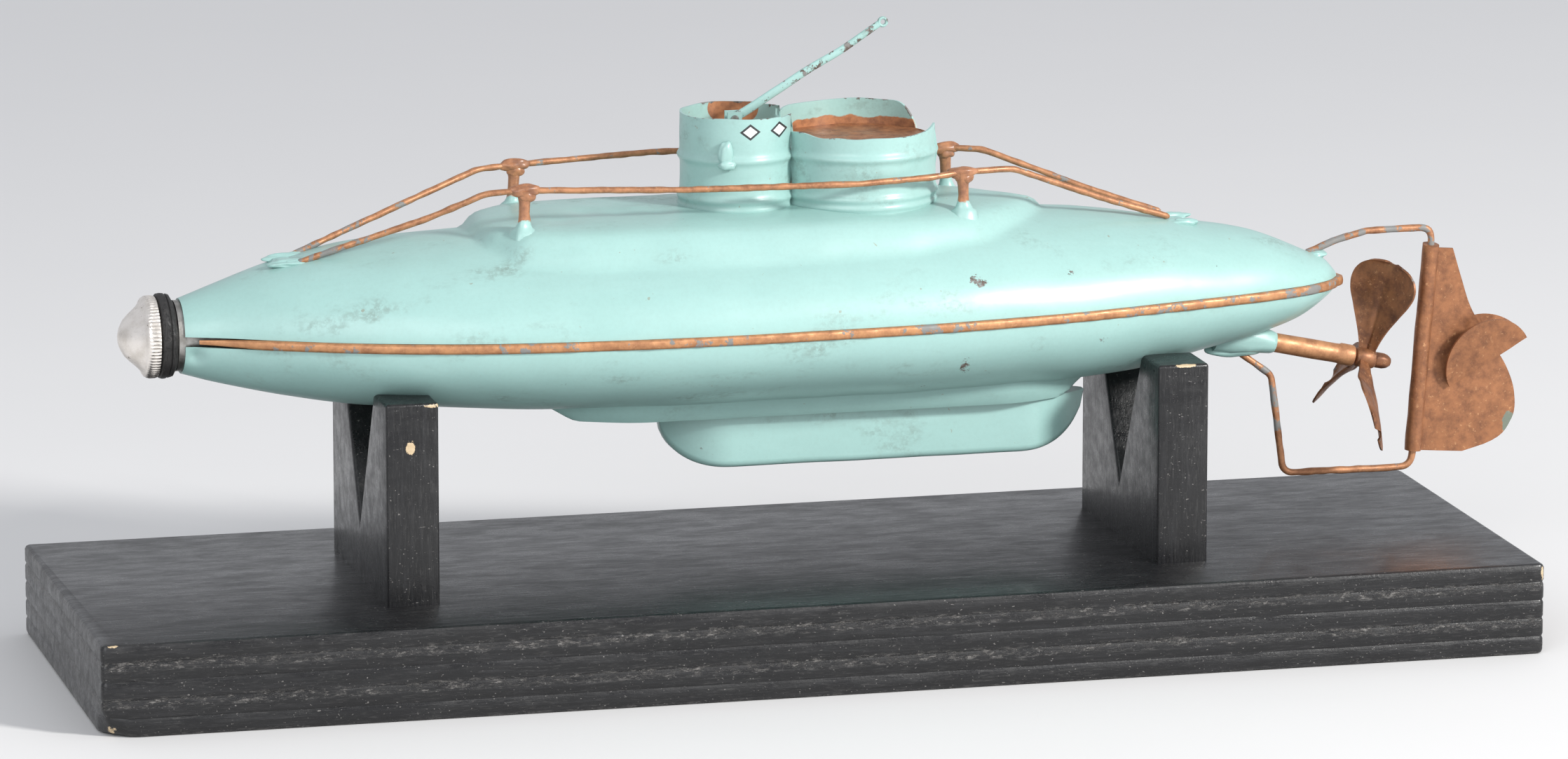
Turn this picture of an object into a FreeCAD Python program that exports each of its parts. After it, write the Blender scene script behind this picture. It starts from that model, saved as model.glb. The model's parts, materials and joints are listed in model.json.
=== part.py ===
import FreeCAD, Part
import math
import os
import Sketcher
from FreeCAD import Matrix, Placement, Rotation, Vector

# A clockwork tin submarine on a wooden cradle stand.
# Frame: origin at the middle of the stand's underside, +X towards the stern, +Y to starboard, +Z up.
# The tin parts are pressed and soldered; the motor turns the propeller through a loose coupling.

doc = FreeCAD.newDocument("toy_submarine")
sheet = doc.addObject("Spreadsheet::Sheet", "dims")

SIZES = (
    # stand
    ("base_length", 300.0), ("base_width", 95.0), ("base_thickness", 19.0), ("base_round", 1.2),
    ("upright_thickness", 10.8), ("upright_width", 56.0), ("upright_height", 41.5),
    ("upright_fore_x", -83.0), ("upright_aft_x", 78.0), ("notch_bottom", 11.5), ("notch_half_width", 15.5),
    ("cradle_gap", 0.35), ("screw_radius", 1.75), ("screw_length", 38.0), ("screw_spread", 15.0),
    # hull
    ("bow_x", -125.0), ("hull_length", 243.5), ("half_beam", 31.7), ("hull_rise", 20.0),
    ("hull_depth", 18.0), ("seam_z", 71.1), ("tin", 0.5), ("seam_thickness", 2.0), ("seam_lip", 1.3),
    ("casing_start", 61.0), ("casing_length", 117.0), ("casing_half_width", 19.5),
    ("casing_edge_rise", 20.1), ("casing_crown", 1.9), ("casing_flare", 5.2),
    ("keel_plate_start", 73.0), ("keel_plate_length", 117.0), ("keel_plate_half_width", 13.0),
    ("keel_plate_drop", 2.4), ("keel_start", 98.5), ("keel_length", 91.0), ("keel_half_width", 8.5),
    ("keel_drop", 13.6), ("ballast_length", 52.0),
    # bow fitting
    ("neck_radius", 7.2), ("neck_length", 1.3), ("socket_depth", 9.3), ("cap_thread_radius", 5.5),
    ("cap_radius", 8.4), ("cap_rim_width", 3.1), ("cap_dome_radius", 7.1), ("cap_length", 7.7),
    ("gasket_radius", 8.85), ("gasket_thickness", 3.5), ("thread_gap", 0.08), ("face_gap", 0.05),
    # tower
    ("lobe_fore_x", -9.5), ("lobe_fore_radius", 11.5), ("lobe_aft_x", 16.1), ("lobe_aft_radius", 16.0),
    ("tower_rim_rise", 41.2), ("tower_deck_rise", 34.4), ("wall_low_rise", 36.9), ("wall_far_rise", 39.9),
    ("rib_radius", 0.75), ("door_width", 7.0),
    ("mast_pin_rise", 39.6), ("mast_x", -10.0), ("mast_length", 38.7), ("mast_width", 2.1),
    ("mast_thickness", 1.1), ("mast_angle", 30.6), ("mast_pin_radius", 0.5),
    # handrails
    ("rail_radius", 0.65), ("rail_half_spacing", 14.3), ("rail_rise", 29.2), ("post_radius", 1.05),
    ("post_fore_x", -57.0), ("post_aft_x", 35.0), ("post_stagger", 4.0),
    # stern gear, measured from the hull's stern end
    ("shaft_angle", 12.12), ("shaft_radius", 0.75), ("running_gap", 0.05), ("tube_radius", 2.0),
    ("tube_bore", 1.4), ("tube_aft", 4.8), ("tube_aft_drop", 16.5), ("tube_length", 34.0),
    ("propeller_radius", 21.0), ("propeller_aft", 7.4), ("blade_pitch", 34.0), ("blade_count", 3),
    ("rudder_foot_aft", 18.2), ("rudder_foot_drop", 37.3), ("rudder_length", 43.9),
    ("rudder_rake", 4.4), ("rudder_tube_radius", 1.75), ("wire_radius", 0.75), ("sheet_metal", 0.45),
    ("plane_radius", 9.9), ("plane_tilt", 30.0), ("plane_splay", 20.0),
    # clockwork
    ("gear_module", 0.4), ("great_teeth", 48), ("second_pinion_teeth", 10), ("second_teeth", 46),
    ("output_teeth", 12), ("ratchet_teeth", 14), ("motor_x", -38.0), ("plate_gap_fore", 16.0),
    ("plate_gap_aft", 11.0), ("plate_thickness", 1.0), ("plate_half_width", 18.5), ("plate_height", 29.2),
    ("arbor_radius", 1.5), ("spindle_radius", 0.75), ("pillar_radius", 1.2), ("output_drop", 6.0),
    ("wheel_thickness", 1.2), ("spring_turns", 7), ("spring_width", 8.0), ("coupling_radius", 5.0),
)

for row, (alias, number) in enumerate(SIZES, start=1):
    sheet.set("A%d" % row, alias.replace("_", " "))
    sheet.set("B%d" % row, repr(number))
    sheet.setAlias("B%d" % row, alias)
doc.recompute()

nodes = []


def dim(alias):
    """A driving dimension read back from the sheet."""
    return float(sheet.get(alias))


# ---------------------------------------------------------------- document helpers

def bind(thing, **expressions):
    for name, expression in expressions.items():
        thing.setExpression(name.replace("__", "."), expression)


def place(thing, x="0", y="0", z="0", turn=None):
    """Put an object where three sheet expressions say."""
    thing.Placement = Placement(Vector(), turn or Rotation())
    bind(thing, Placement__Base__x=x, Placement__Base__y=y, Placement__Base__z=z)
    return thing


ALONG_X = Rotation(Vector(0, 1, 0), 90)
ALONG_Y = Rotation(Vector(1, 0, 0), -90)


def box(length, width, height, x, y, z):
    item = doc.addObject("Part::Box", "block")
    bind(item, Length=length, Width=width, Height=height)
    return place(item, x, y, z)


def cylinder(radius, height, x="0", y="0", z="0", turn=None):
    item = doc.addObject("Part::Cylinder", "round")
    bind(item, Radius=radius, Height=height)
    return place(item, x, y, z, turn)


def torus(ring_radius, bead_radius, x, y, z):
    item = doc.addObject("Part::Torus", "bead")
    bind(item, Radius1=ring_radius, Radius2=bead_radius)
    return place(item, x, y, z)


def fuse(items):
    item = doc.addObject("Part::MultiFuse", "joined")
    item.Shapes = items
    return item


def cut(base, tool):
    item = doc.addObject("Part::Cut", "trimmed")
    item.Base = base
    item.Tool = tool
    return item


def solid(shape):
    """A helper or sub-part whose form is worked out here rather than by a feature."""
    item = doc.addObject("Part::Feature", "form")
    item.Shape = shape
    return item


def node(label, item):
    """Register a finished sub-part under its own name."""
    item.Label = label
    nodes.append(item)
    return item


# ---------------------------------------------------------------- sketched bodies

def new_sketch(body, plane="XY_Plane", offset="0"):
    sketch = body.newObject("Sketcher::SketchObject", "outline")
    origin_planes = {feature.Role: feature for feature in body.Origin.OriginFeatures}
    sketch.AttachmentSupport = [(origin_planes[plane], "")]
    sketch.MapMode = "FlatFace"
    bind(sketch, AttachmentOffset__Base__z=offset)
    return sketch


def pin_point(sketch, geometry, place_on_edge, x, y):
    """Fix one end of an edge at two sheet expressions measured from the origin."""
    for axis, expression, line in (("DistanceX", x, -2), ("DistanceY", y, -1)):
        if expression == "0":
            sketch.addConstraint(Sketcher.Constraint("PointOnObject", geometry, place_on_edge, line))
            continue
        index = sketch.addConstraint(Sketcher.Constraint(axis, -1, 1, geometry, place_on_edge, 1.0))
        sketch.setExpression("Constraints[%d]" % index, expression)


def polygon(sketch, corners):
    """A closed outline whose corners are pairs of sheet expressions."""
    count = len(corners)
    for number in range(count):
        turn = 2 * math.pi * number / count
        after = 2 * math.pi * (number + 1) / count
        start = Vector(math.cos(turn), math.sin(turn), 0)
        end = Vector(math.cos(after), math.sin(after), 0)
        sketch.addGeometry(Part.LineSegment(start, end), False)
    for number in range(count):
        sketch.addConstraint(Sketcher.Constraint("Coincident", number, 2, (number + 1) % count, 1))
    for number, (x, y) in enumerate(corners):
        pin_point(sketch, number, 1, x, y)


def new_body(name):
    return doc.addObject("PartDesign::Body", name)


def pad(body, sketch, length, midplane=False):
    feature = body.newObject("PartDesign::Pad", "pad")
    feature.Profile = sketch
    bind(feature, Length=length)
    feature.Midplane = midplane
    return feature


def spin_x(body, corners):
    """Turn an outline of (x, radius) corners about the hull's long axis."""
    sketch = new_sketch(body, "XZ_Plane")
    polygon(sketch, corners)
    feature = body.newObject("PartDesign::Revolution", "turned")
    feature.Profile = sketch
    feature.ReferenceAxis = (sketch, ["H_Axis"])
    feature.Angle = 360
    return feature


def round_edges(body, feature, names, radius):
    fillet = body.newObject("PartDesign::Fillet", "rounding")
    fillet.Base = (feature, names)
    bind(fillet, Radius=radius)
    return fillet


# ---------------------------------------------------------------- hull form

# The lines of the hull: share of the length from the bow, then the half breadth, the height above
# the seam and the depth below it, each as a share of its greatest value. The bow ends in the neck.
LINES = (
    (0.0246, 0.300, 0.465, 0.506), (0.0780, 0.500, 0.665, 0.678), (0.1355, 0.690, 0.825, 0.800),
    (0.2180, 0.880, 0.900, 0.894), (0.3490, 1.000, 0.970, 0.989), (0.5130, 1.000, 1.000, 1.000),
    (0.6570, 0.925, 0.970, 0.989), (0.7515, 0.800, 0.880, 0.944), (0.8130, 0.685, 0.810, 0.878),
    (0.8747, 0.555, 0.670, 0.706), (0.9360, 0.405, 0.505, 0.511), (0.9730, 0.270, 0.320, 0.317),
    (0.9918, 0.150, 0.205, 0.150), (1.0000, 0.060, 0.090, 0.070),
)


def stations():
    """The hull's cross sections as (x, half breadth, rise, depth)."""
    neck = dim("neck_radius")
    rows = [(dim("bow_x"), neck, neck, neck)]
    for share, breadth, rise, depth in LINES:
        x = dim("bow_x") + share * dim("hull_length")
        rows.append((x, breadth * dim("half_beam"), rise * dim("hull_rise"), depth * dim("hull_depth")))
    return rows


def section_at(x):
    """Half breadth, rise and depth of the hull at any x, between its stations."""
    rows = stations()
    for before, after in zip(rows, rows[1:]):
        if before[0] <= x <= after[0]:
            share = (x - before[0]) / (after[0] - before[0])
            return [a + share * (b - a) for a, b in zip(before[1:], after[1:])]
    return rows[-1][1:] if x > rows[-1][0] else rows[0][1:]


def deck_z(x, y=0.0):
    """Height of the bare hull's upper skin."""
    breadth, rise, _ = section_at(x)
    return dim("seam_z") + rise * math.sqrt(max(0.0, 1 - (y / breadth) ** 2))


def half_oval(x, breadth, height):
    """Half of an oval cross section, above the seam for a positive height."""
    start, end = (0, math.pi) if height > 0 else (math.pi, 2 * math.pi)
    arc = Part.ArcOfCircle(Part.Circle(Vector(), Vector(0, 0, 1), 1.0), start, end).toShape()
    stretch = Matrix(0, 0, 1, x, breadth, 0, 0, 0, 0, abs(height), 0, dim("seam_z"), 0, 0, 0, 1)
    return arc.transformGeometry(stretch)


def hull_form(offset=0.0):
    """The whole hull as one solid, grown or shrunk by an offset."""
    wires = []
    for x, breadth, rise, depth in stations():
        x += offset * (x > dim("bow_x") + dim("hull_length") - 1)
        grown = [max(0.4, value + offset) for value in (breadth, rise, depth)]
        edges = [half_oval(x, grown[0], grown[1]), half_oval(x, grown[0], -grown[2])]
        wires.append(Part.Wire(edges))
    return Part.makeLoft(wires, True, False)


def closed_outline(points, z):
    """A smooth closed curve through port points (x, half width) and their mirror images."""
    port = [Vector(x, -half_width, z) for x, half_width in points]
    starboard = [Vector(x, half_width, z) for x, half_width in reversed(points) if half_width > 0.01]
    curve = Part.BSplineCurve()
    curve.interpolate(port + starboard, PeriodicFlag=True)
    return Part.Wire([curve.toShape()])


# The raised casing's plan: share of its length, share of its half width.
CASING_PLAN = (
    (0.0, 0.0), (0.012, 0.52), (0.06, 0.83), (0.15, 0.95), (0.34, 1.0), (0.56, 1.0), (0.74, 0.93),
    (0.86, 0.78), (0.94, 0.46), (0.985, 0.18), (1.0, 0.0),
)


def casing_outline(end_grow, side_grow, z):
    """The casing's plan, grown or shrunk by different amounts at its ends and its sides."""
    middle = dim("bow_x") + dim("casing_start") + dim("casing_length") / 2
    points = []
    for share, width in CASING_PLAN:
        x = middle + (share - 0.5) * (dim("casing_length") + 2 * end_grow)
        points.append((x, width * (dim("casing_half_width") + side_grow)))
    return closed_outline(points, z)


def casing_form(inset=0.0):
    """The raised deck casing as a solid whose flared foot lies just inside the hull."""
    edge = dim("seam_z") + dim("casing_edge_rise") - inset
    crown = dim("casing_crown")
    flare = dim("casing_flare")
    rings = (
        (1.7 * flare, flare, -1.65 * flare), (0.0, 0.0, 0.0), (-5.0, -5.0, 0.62 * crown),
        (-11.0, -11.0, crown),
    )
    wires = []
    for end_grow, side_grow, lift in rings:
        wires.append(casing_outline(end_grow - inset, side_grow - inset, edge + lift))
    return Part.makeLoft(wires, True, True)


def slab(low, high):
    """Everything between two heights."""
    reach = 3 * dim("hull_length")
    return Part.makeBox(reach, reach, high - low, Vector(-reach / 2, -reach / 2, low))


outer_hull = hull_form()
inner_hull = hull_form(-dim("tin"))
outer_casing = casing_form()
inner_casing = casing_form(dim("tin"))
outer_skin = outer_hull.fuse(outer_casing)
inner_skin = inner_hull.fuse(inner_casing)


def shaft_point(distance):
    """A point on the propeller shaft's line, a distance along it from the tube's aft end."""
    slope = math.radians(dim("shaft_angle"))
    end = Vector(dim("bow_x") + dim("hull_length") + dim("tube_aft"), 0, dim("seam_z") - dim("tube_aft_drop"))
    return end + Vector(math.cos(slope), 0, -math.sin(slope)) * distance


SHAFT_TURN = Rotation(Vector(0, 1, 0), 90 + dim("shaft_angle"))


def on_shaft(shape, distance):
    """Turn a shape built on +Z onto the propeller shaft's line."""
    shape.Placement = Placement(shaft_point(distance), SHAFT_TURN)
    return shape


def shaft_rod(radius, start, length):
    return on_shaft(Part.makeCylinder(radius, length), start)


def make_hull():
    seam = dim("seam_z")
    half_seam = dim("seam_thickness") / 2
    tall = 60.0
    upper = outer_skin.cut(inner_skin).common(slab(seam + half_seam, seam + tall))
    node("hull_upper_shell", solid(upper))
    keel_hole = shaft_rod(dim("tube_radius") + 0.03, -dim("tube_length") - 2, dim("tube_length"))
    lower = outer_hull.cut(inner_hull).common(slab(seam - tall, seam - half_seam)).cut(keel_hole)
    node("hull_lower_shell", solid(lower))


def make_seam_band():
    """The two flanges where the pressings are folded and soldered together."""
    seam = dim("seam_z")
    half_seam = dim("seam_thickness") / 2
    ring = hull_form(dim("seam_lip")).cut(inner_hull).common(slab(seam - half_seam, seam + half_seam))
    reach = 40.0
    bow = Part.makeBox(reach, reach, reach, Vector(dim("bow_x") + 2.5 - reach, -reach / 2, seam - reach / 2))
    node("seam_band", solid(largest(ring.cut(bow))))


def largest(shape):
    return max(shape.Solids, key=lambda part: part.Volume)


# ---------------------------------------------------------------- stand

def make_stand():
    body = new_body("board")
    sketch = new_sketch(body)
    half_x = "dims.base_length / 2"
    half_y = "dims.base_width / 2"
    polygon(sketch, [
        ("-" + half_x, "-" + half_y), (half_x, "-" + half_y), (half_x, half_y), ("-" + half_x, half_y),
    ])
    board = pad(body, sketch, "dims.base_thickness")
    doc.recompute()
    edges = ["Edge%d" % (number + 1) for number in range(len(board.Shape.Edges))]
    round_edges(body, board, edges, "dims.base_round")
    screws = screw_solids()
    node("stand_base", cut(body, solid(screws)))
    node("stand_screws", solid(screws))
    clearance = hull_form(dim("cradle_gap"))
    room = solid(clearance.fuse(screws))
    node("stand_upright_fore", make_upright("dims.upright_fore_x", room))
    node("stand_upright_aft", make_upright("dims.upright_aft_x", room))


def make_upright(x, clearance):
    body = new_body("upright")
    sketch = new_sketch(body, "YZ_Plane")
    half = "dims.upright_width / 2"
    foot = "dims.base_thickness"
    top = "dims.base_thickness + dims.upright_height"
    corners = [
        ("-" + half, foot), (half, foot), (half, top), ("dims.notch_half_width", top),
        ("0", "dims.base_thickness + dims.notch_bottom"), ("-dims.notch_half_width", top), ("-" + half, top),
    ]
    polygon(sketch, corners)
    pad(body, sketch, "dims.upright_thickness", midplane=True)
    place(body, x)
    return cut(body, clearance)


def screw_solids():
    """Countersunk wood screws, two up through the board into each upright."""
    radius = dim("screw_radius")
    parts = []
    for x in (dim("upright_fore_x"), dim("upright_aft_x")):
        for side in (-1, 1):
            y = side * dim("screw_spread")
            shank = Part.makeCylinder(radius, dim("screw_length"), Vector(x, y, 0.6))
            head = Part.makeCone(2 * radius, radius, 2 * radius, Vector(x, y, 0.6))
            parts.append(shank.fuse(head).removeSplitter())
    return Part.makeCompound(parts)


# ---------------------------------------------------------------- keel

def keel_outline(start, length, half_width, taper, z):
    """A boat-shaped plan: parallel sides that draw in over the taper at each end."""
    x0 = dim("bow_x") + start
    x1 = x0 + length
    nose = 0.12 * half_width
    corners = (
        (x0, -nose), (x0 + taper, -half_width), (x1 - taper, -half_width), (x1, -nose),
        (x1, nose), (x1 - taper, half_width), (x0 + taper, half_width), (x0, nose), (x0, -nose),
    )
    return Part.makePolygon([Vector(x, y, z) for x, y in corners])


def keel_section(bottom, start, length, half_width, ends, rake):
    """A keel piece from inside the hull down to its flat bottom, with raked ends."""
    top = dim("seam_z") - 0.6 * dim("hull_depth")
    upper = keel_outline(start, length, half_width, ends, top)
    lower = keel_outline(start + rake, length - 2 * rake, half_width, ends, bottom)
    return Part.makeLoft([upper, lower], True, True)


def make_keel():
    plate_bottom = dim("seam_z") - dim("hull_depth") - dim("keel_plate_drop")
    plate_sizes = (dim("keel_plate_start"), dim("keel_plate_length"), dim("keel_plate_half_width"))
    plate = keel_section(plate_bottom, *plate_sizes, 22.0, 6.0)
    hollow = plate.cut(outer_hull)
    node("keel_plate", solid(max(hollow.Solids, key=lambda part: part.Volume)))
    box_bottom = dim("seam_z") - dim("hull_depth") - dim("keel_drop")
    trough = keel_shell(box_bottom, 0.0)
    inside = keel_shell(box_bottom + dim("tin"), dim("tin"))
    below_plate = slab(box_bottom - 10, plate_bottom)
    node("keel_box", solid(trough.cut(inside).common(below_plate)))
    make_ballast(box_bottom + dim("tin"))


def keel_shell(bottom, inset):
    """The deep keel with its lower fore and aft corners rounded in profile."""
    start = dim("keel_start") + inset
    length = dim("keel_length") - 2 * inset
    half_width = dim("keel_half_width") - inset
    x0 = dim("bow_x") + start
    x1 = x0 + length
    depth = dim("keel_drop")
    top = bottom + 2 * depth
    plan = Part.Face(keel_outline(start, length, half_width, 14.0, bottom)).extrude(Vector(0, 0, 2 * depth))
    fore, aft = 1.05 * depth, 1.35 * depth
    profile = Part.Wire([
        Part.LineSegment(Vector(x0, 0, top), Vector(x0, 0, bottom + depth)).toShape(),
        Part.Arc(Vector(x0, 0, bottom + depth), Vector(x0 + 0.3 * fore, 0, bottom + 0.26 * depth),
                 Vector(x0 + fore, 0, bottom)).toShape(),
        Part.LineSegment(Vector(x0 + fore, 0, bottom), Vector(x1 - aft, 0, bottom)).toShape(),
        Part.Arc(Vector(x1 - aft, 0, bottom), Vector(x1 - 0.3 * aft, 0, bottom + 0.26 * depth),
                 Vector(x1, 0, bottom + depth)).toShape(),
        Part.LineSegment(Vector(x1, 0, bottom + depth), Vector(x1, 0, top)).toShape(),
        Part.LineSegment(Vector(x1, 0, top), Vector(x0, 0, top)).toShape(),
    ])
    side = Part.Face(profile)
    side.translate(Vector(0, -2 * half_width, 0))
    return plan.common(side.extrude(Vector(0, 4 * half_width, 0)))


def make_ballast(floor):
    length = "dims.ballast_length"
    width = "2 * (dims.keel_half_width - dims.tin) - 1"
    x = "dims.bow_x + dims.keel_start + (dims.keel_length - dims.ballast_length) / 2"
    z = "dims.seam_z - dims.hull_depth - dims.keel_drop + dims.tin"
    y = "-(dims.keel_half_width - dims.tin) + 0.5"
    node("keel_ballast", box(length, width, "dims.keel_drop / 2", x, y, z))


# ---------------------------------------------------------------- bow fitting

def make_bow():
    bow = "dims.bow_x"
    front = "(dims.bow_x - dims.neck_length)"
    socket = "(dims.cap_thread_radius + dims.thread_gap)"
    spigot = "(dims.neck_radius - dims.tin - 0.05)"
    back = "(dims.bow_x - dims.neck_length + dims.socket_depth)"
    shaft_hole = "(dims.arbor_radius + dims.running_gap)"
    collar = new_body("collar")
    spin_x(collar, [
        (front, socket), (front, "dims.neck_radius"), (bow, "dims.neck_radius"), (bow, spigot),
        (back + " + 1", spigot), (back + " + 1", shaft_hole), (back, shaft_hole), (back, socket),
    ])
    node("bow_collar", place(collar, z="dims.seam_z"))
    gasket_front = front + " - dims.face_gap - dims.gasket_thickness"
    gasket_back = front + " - dims.face_gap"
    outer = "dims.gasket_radius"
    gasket = new_body("gasket")
    spin_x(gasket, [
        (gasket_front, socket), (gasket_front, outer),
        (gasket_front + " + 0.6 * dims.gasket_thickness", outer),
        (gasket_back, "dims.gasket_radius - 1.2"), (gasket_back, socket),
    ])
    node("nose_gasket", place(gasket, z="dims.seam_z"))
    make_cap(gasket_front + " - dims.face_gap")


def make_cap(rim_back):
    """The knurled nose cap: a dome, a rim and a hollow screwed shank."""
    rim_front = rim_back + " - dims.cap_rim_width"
    tip = rim_front + " - dims.cap_length + dims.cap_rim_width"
    thread = "dims.cap_thread_radius"
    well = "(dims.cap_thread_radius - 1.3)"
    end = rim_back + " + dims.gasket_thickness + 5.5"
    dome = "dims.cap_dome_radius"
    cap = new_body("cap")
    spin_x(cap, [
        (tip, "0"), (tip + " + 0.35", "0.33 * " + dome), (tip + " + 1.5", "0.58 * " + dome),
        (tip + " + 3.1", "0.78 * " + dome), (rim_front + " - 0.1", dome),
        (rim_front + " + 0.5", "dims.cap_radius - 0.5"), (rim_front + " + 1.1", "dims.cap_radius"),
        (rim_back, "dims.cap_radius"), (rim_back, thread), (end, thread), (end, well),
        (rim_front + " + 0.5", well), (rim_front + " + 0.5", "0"),
    ])
    node("nose_cap", place(cap, z="dims.seam_z"))


# ---------------------------------------------------------------- tower and mast

def lobe_pair(grow, height, z):
    """The figure-eight plan of the tower as a prism."""
    parts = []
    for name in ("fore", "aft"):
        radius = "dims.lobe_%s_radius + %s" % (name, grow)
        parts.append(cylinder(radius, height, "dims.lobe_%s_x" % name, "0", z))
    return fuse(parts)


def make_tower():
    foot = "dims.seam_z + 0.8 * dims.hull_rise"
    rim = "dims.seam_z + dims.tower_rim_rise"
    height = "dims.tower_rim_rise - 0.8 * dims.hull_rise"
    outside = [lobe_pair("0", height, foot)]
    crown = "dims.seam_z + dims.casing_edge_rise + dims.casing_crown"
    for level in ("dims.seam_z + dims.tower_deck_rise - 1.9", crown + " + 2.1", crown + " + 0.3"):
        for name in ("fore", "aft"):
            radius = "dims.lobe_%s_radius" % name
            outside.append(torus(radius, "dims.rib_radius", "dims.lobe_%s_x" % name, "0", level))
    inside = lobe_pair("-dims.tin", "2 * (%s)" % height, foot + " - 1")
    low = "dims.seam_z + dims.wall_low_rise"
    far = "dims.seam_z + dims.wall_far_rise"
    gate = "dims.seam_z + dims.tower_deck_rise"
    reach = "3 * dims.lobe_aft_radius"
    crease = "dims.lobe_fore_x + dims.lobe_fore_radius - 1.1"
    openings = [
        box(reach, reach, "20", crease, "-" + reach, low),
        box(reach, reach, "20", crease, "0", far),
        box(reach, "dims.door_width", "20", "dims.lobe_aft_x + 0.5 * dims.lobe_aft_radius", "0", gate),
    ]
    wall = fuse(outside)
    for tool in [inside, solid(outer_skin)] + openings:
        wall = cut(wall, tool)
    node("tower_wall", wall)
    node("tower_deck", lobe_pair("-dims.tin - 0.03", "0.6", gate + " - 0.6"))
    clip_y = "-dims.lobe_fore_radius + 1.2"
    clip = cylinder("1.9", "5.3", "dims.lobe_fore_x - 4.4", clip_y, "dims.seam_z + 31.4")
    node("tower_clip", cut(clip, wall_core()))
    make_mast()


def wall_core():
    """The tower's outside without its beads, which soldered pieces are trimmed to."""
    core = lobe_pair("dims.rib_radius", "2 * dims.tower_rim_rise", "dims.seam_z")
    return core


def make_mast():
    """A folded tin mast that swings on a rivet through two small lugs on the tower deck."""
    pin_z = "dims.seam_z + dims.mast_pin_rise"
    deck = "dims.seam_z + dims.tower_deck_rise"
    gap = "(dims.mast_thickness / 2 + 0.3)"
    lugs = []
    lug_height = "dims.mast_pin_rise - dims.tower_deck_rise + 1.4"
    for start in (gap, "-%s - 0.6" % gap):
        lugs.append(box("3", "0.6", lug_height, "dims.mast_x - 1.5", start, deck))
    hole = cylinder("dims.mast_pin_radius", "8", "dims.mast_x", "-4", pin_z, ALONG_Y)
    node("mast_bracket", cut(fuse(lugs), hole))
    reach = "2 * %s + 2.0" % gap
    pin = cylinder("dims.mast_pin_radius", reach, "dims.mast_x", "-%s - 1.0" % gap, pin_z, ALONG_Y)
    node("mast_pin", pin)
    node("mast", solid(mast_shape()))


def mast_shape():
    width = dim("mast_width")
    thick = dim("mast_thickness")
    length = dim("mast_length")
    side = width / 2
    strip = Part.makeBox(length - 2 * side, thick, width, Vector(0, -thick / 2, -side))
    root = Part.makeCylinder(side, thick, Vector(0, -thick / 2, 0), Vector(0, 1, 0))
    tip = Part.makeCylinder(1.15 * side, thick, Vector(length - 2 * side, -thick / 2, 0), Vector(0, 1, 0))
    pivot_radius = dim("mast_pin_radius") + dim("running_gap")
    pivot = Part.makeCylinder(pivot_radius, 4, Vector(0, -2, 0), Vector(0, 1, 0))
    eye = Part.makeCylinder(0.45 * side, 4, Vector(length - 2 * side, -2, 0), Vector(0, 1, 0))
    shape = strip.fuse([root, tip]).cut(pivot).cut(eye).removeSplitter()
    shape.rotate(Vector(), Vector(0, 1, 0), -dim("mast_angle"))
    shape.translate(Vector(dim("mast_x"), 0, dim("seam_z") + dim("mast_pin_rise")))
    return shape


# ---------------------------------------------------------------- bent wires

def bent_wire(points, radius, bend):
    """A round wire along straight runs joined by tangent arcs."""
    edges = []
    start = points[0]
    for before, corner, after in zip(points, points[1:], points[2:]):
        back = (before - corner).normalize()
        ahead = (after - corner).normalize()
        half_angle = back.getAngle(ahead) / 2
        room = 0.45 * min(before.distanceToPoint(corner), after.distanceToPoint(corner))
        reach = min(room, bend / math.tan(half_angle))
        entry = corner + back * reach
        leave = corner + ahead * reach
        centre_line = (back + ahead).normalize()
        arc_radius = reach * math.tan(half_angle)
        middle = corner + centre_line * (arc_radius / math.sin(half_angle) - arc_radius)
        edges.append(Part.LineSegment(start, entry).toShape())
        edges.append(Part.Arc(entry, middle, leave).toShape())
        start = leave
    edges.append(Part.LineSegment(start, points[-1]).toShape())
    path = Part.Wire(edges)
    heading = (points[1] - points[0]).normalize()
    profile = Part.Wire([Part.Circle(points[0], heading, radius).toShape()])
    return path.makePipeShell([profile], True, False)


def rail_points(side):
    """The handrail's route on one side, side -1 for port and 1 for starboard."""
    stern = dim("bow_x") + dim("hull_length")
    top = dim("seam_z") + dim("rail_rise")
    spread = dim("rail_half_spacing")
    shift = dim("post_stagger") if side > 0 else 0.0
    swell = dim("lobe_aft_radius") + dim("rib_radius") + dim("rail_radius") + 1.1
    lift = 1.3 if side > 0 else -0.5
    bow_end = dim("bow_x") + 23.5
    stern_end = stern - 36.5
    deck_gap = dim("rail_radius") + 0.4
    route = (
        (bow_end, 3.8, deck_z(bow_end, 3.8) + deck_gap),
        (dim("post_fore_x") - 18.5, 0.72 * spread, top - 5.6),
        (dim("post_fore_x") + shift - 7.5, 0.97 * spread, top - 0.4),
        (dim("post_fore_x") + shift, spread, top),
        (dim("lobe_fore_x") - 14.0, 0.5 * (spread + swell), top + lift),
        (dim("lobe_aft_x"), swell, top + 0.4 * lift),
        (dim("post_aft_x") + shift, spread, top - 0.3),
        (dim("post_aft_x") + 11.0, 0.82 * spread, top - 0.5),
        (stern_end - 14.0, 0.42 * spread, deck_z(stern_end - 14.0, 0.42 * spread) + 4.6),
        (stern_end, 3.0, deck_z(stern_end, 3.0) + deck_gap),
    )
    return [Vector(x, side * y, z) for x, y, z in route]


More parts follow.
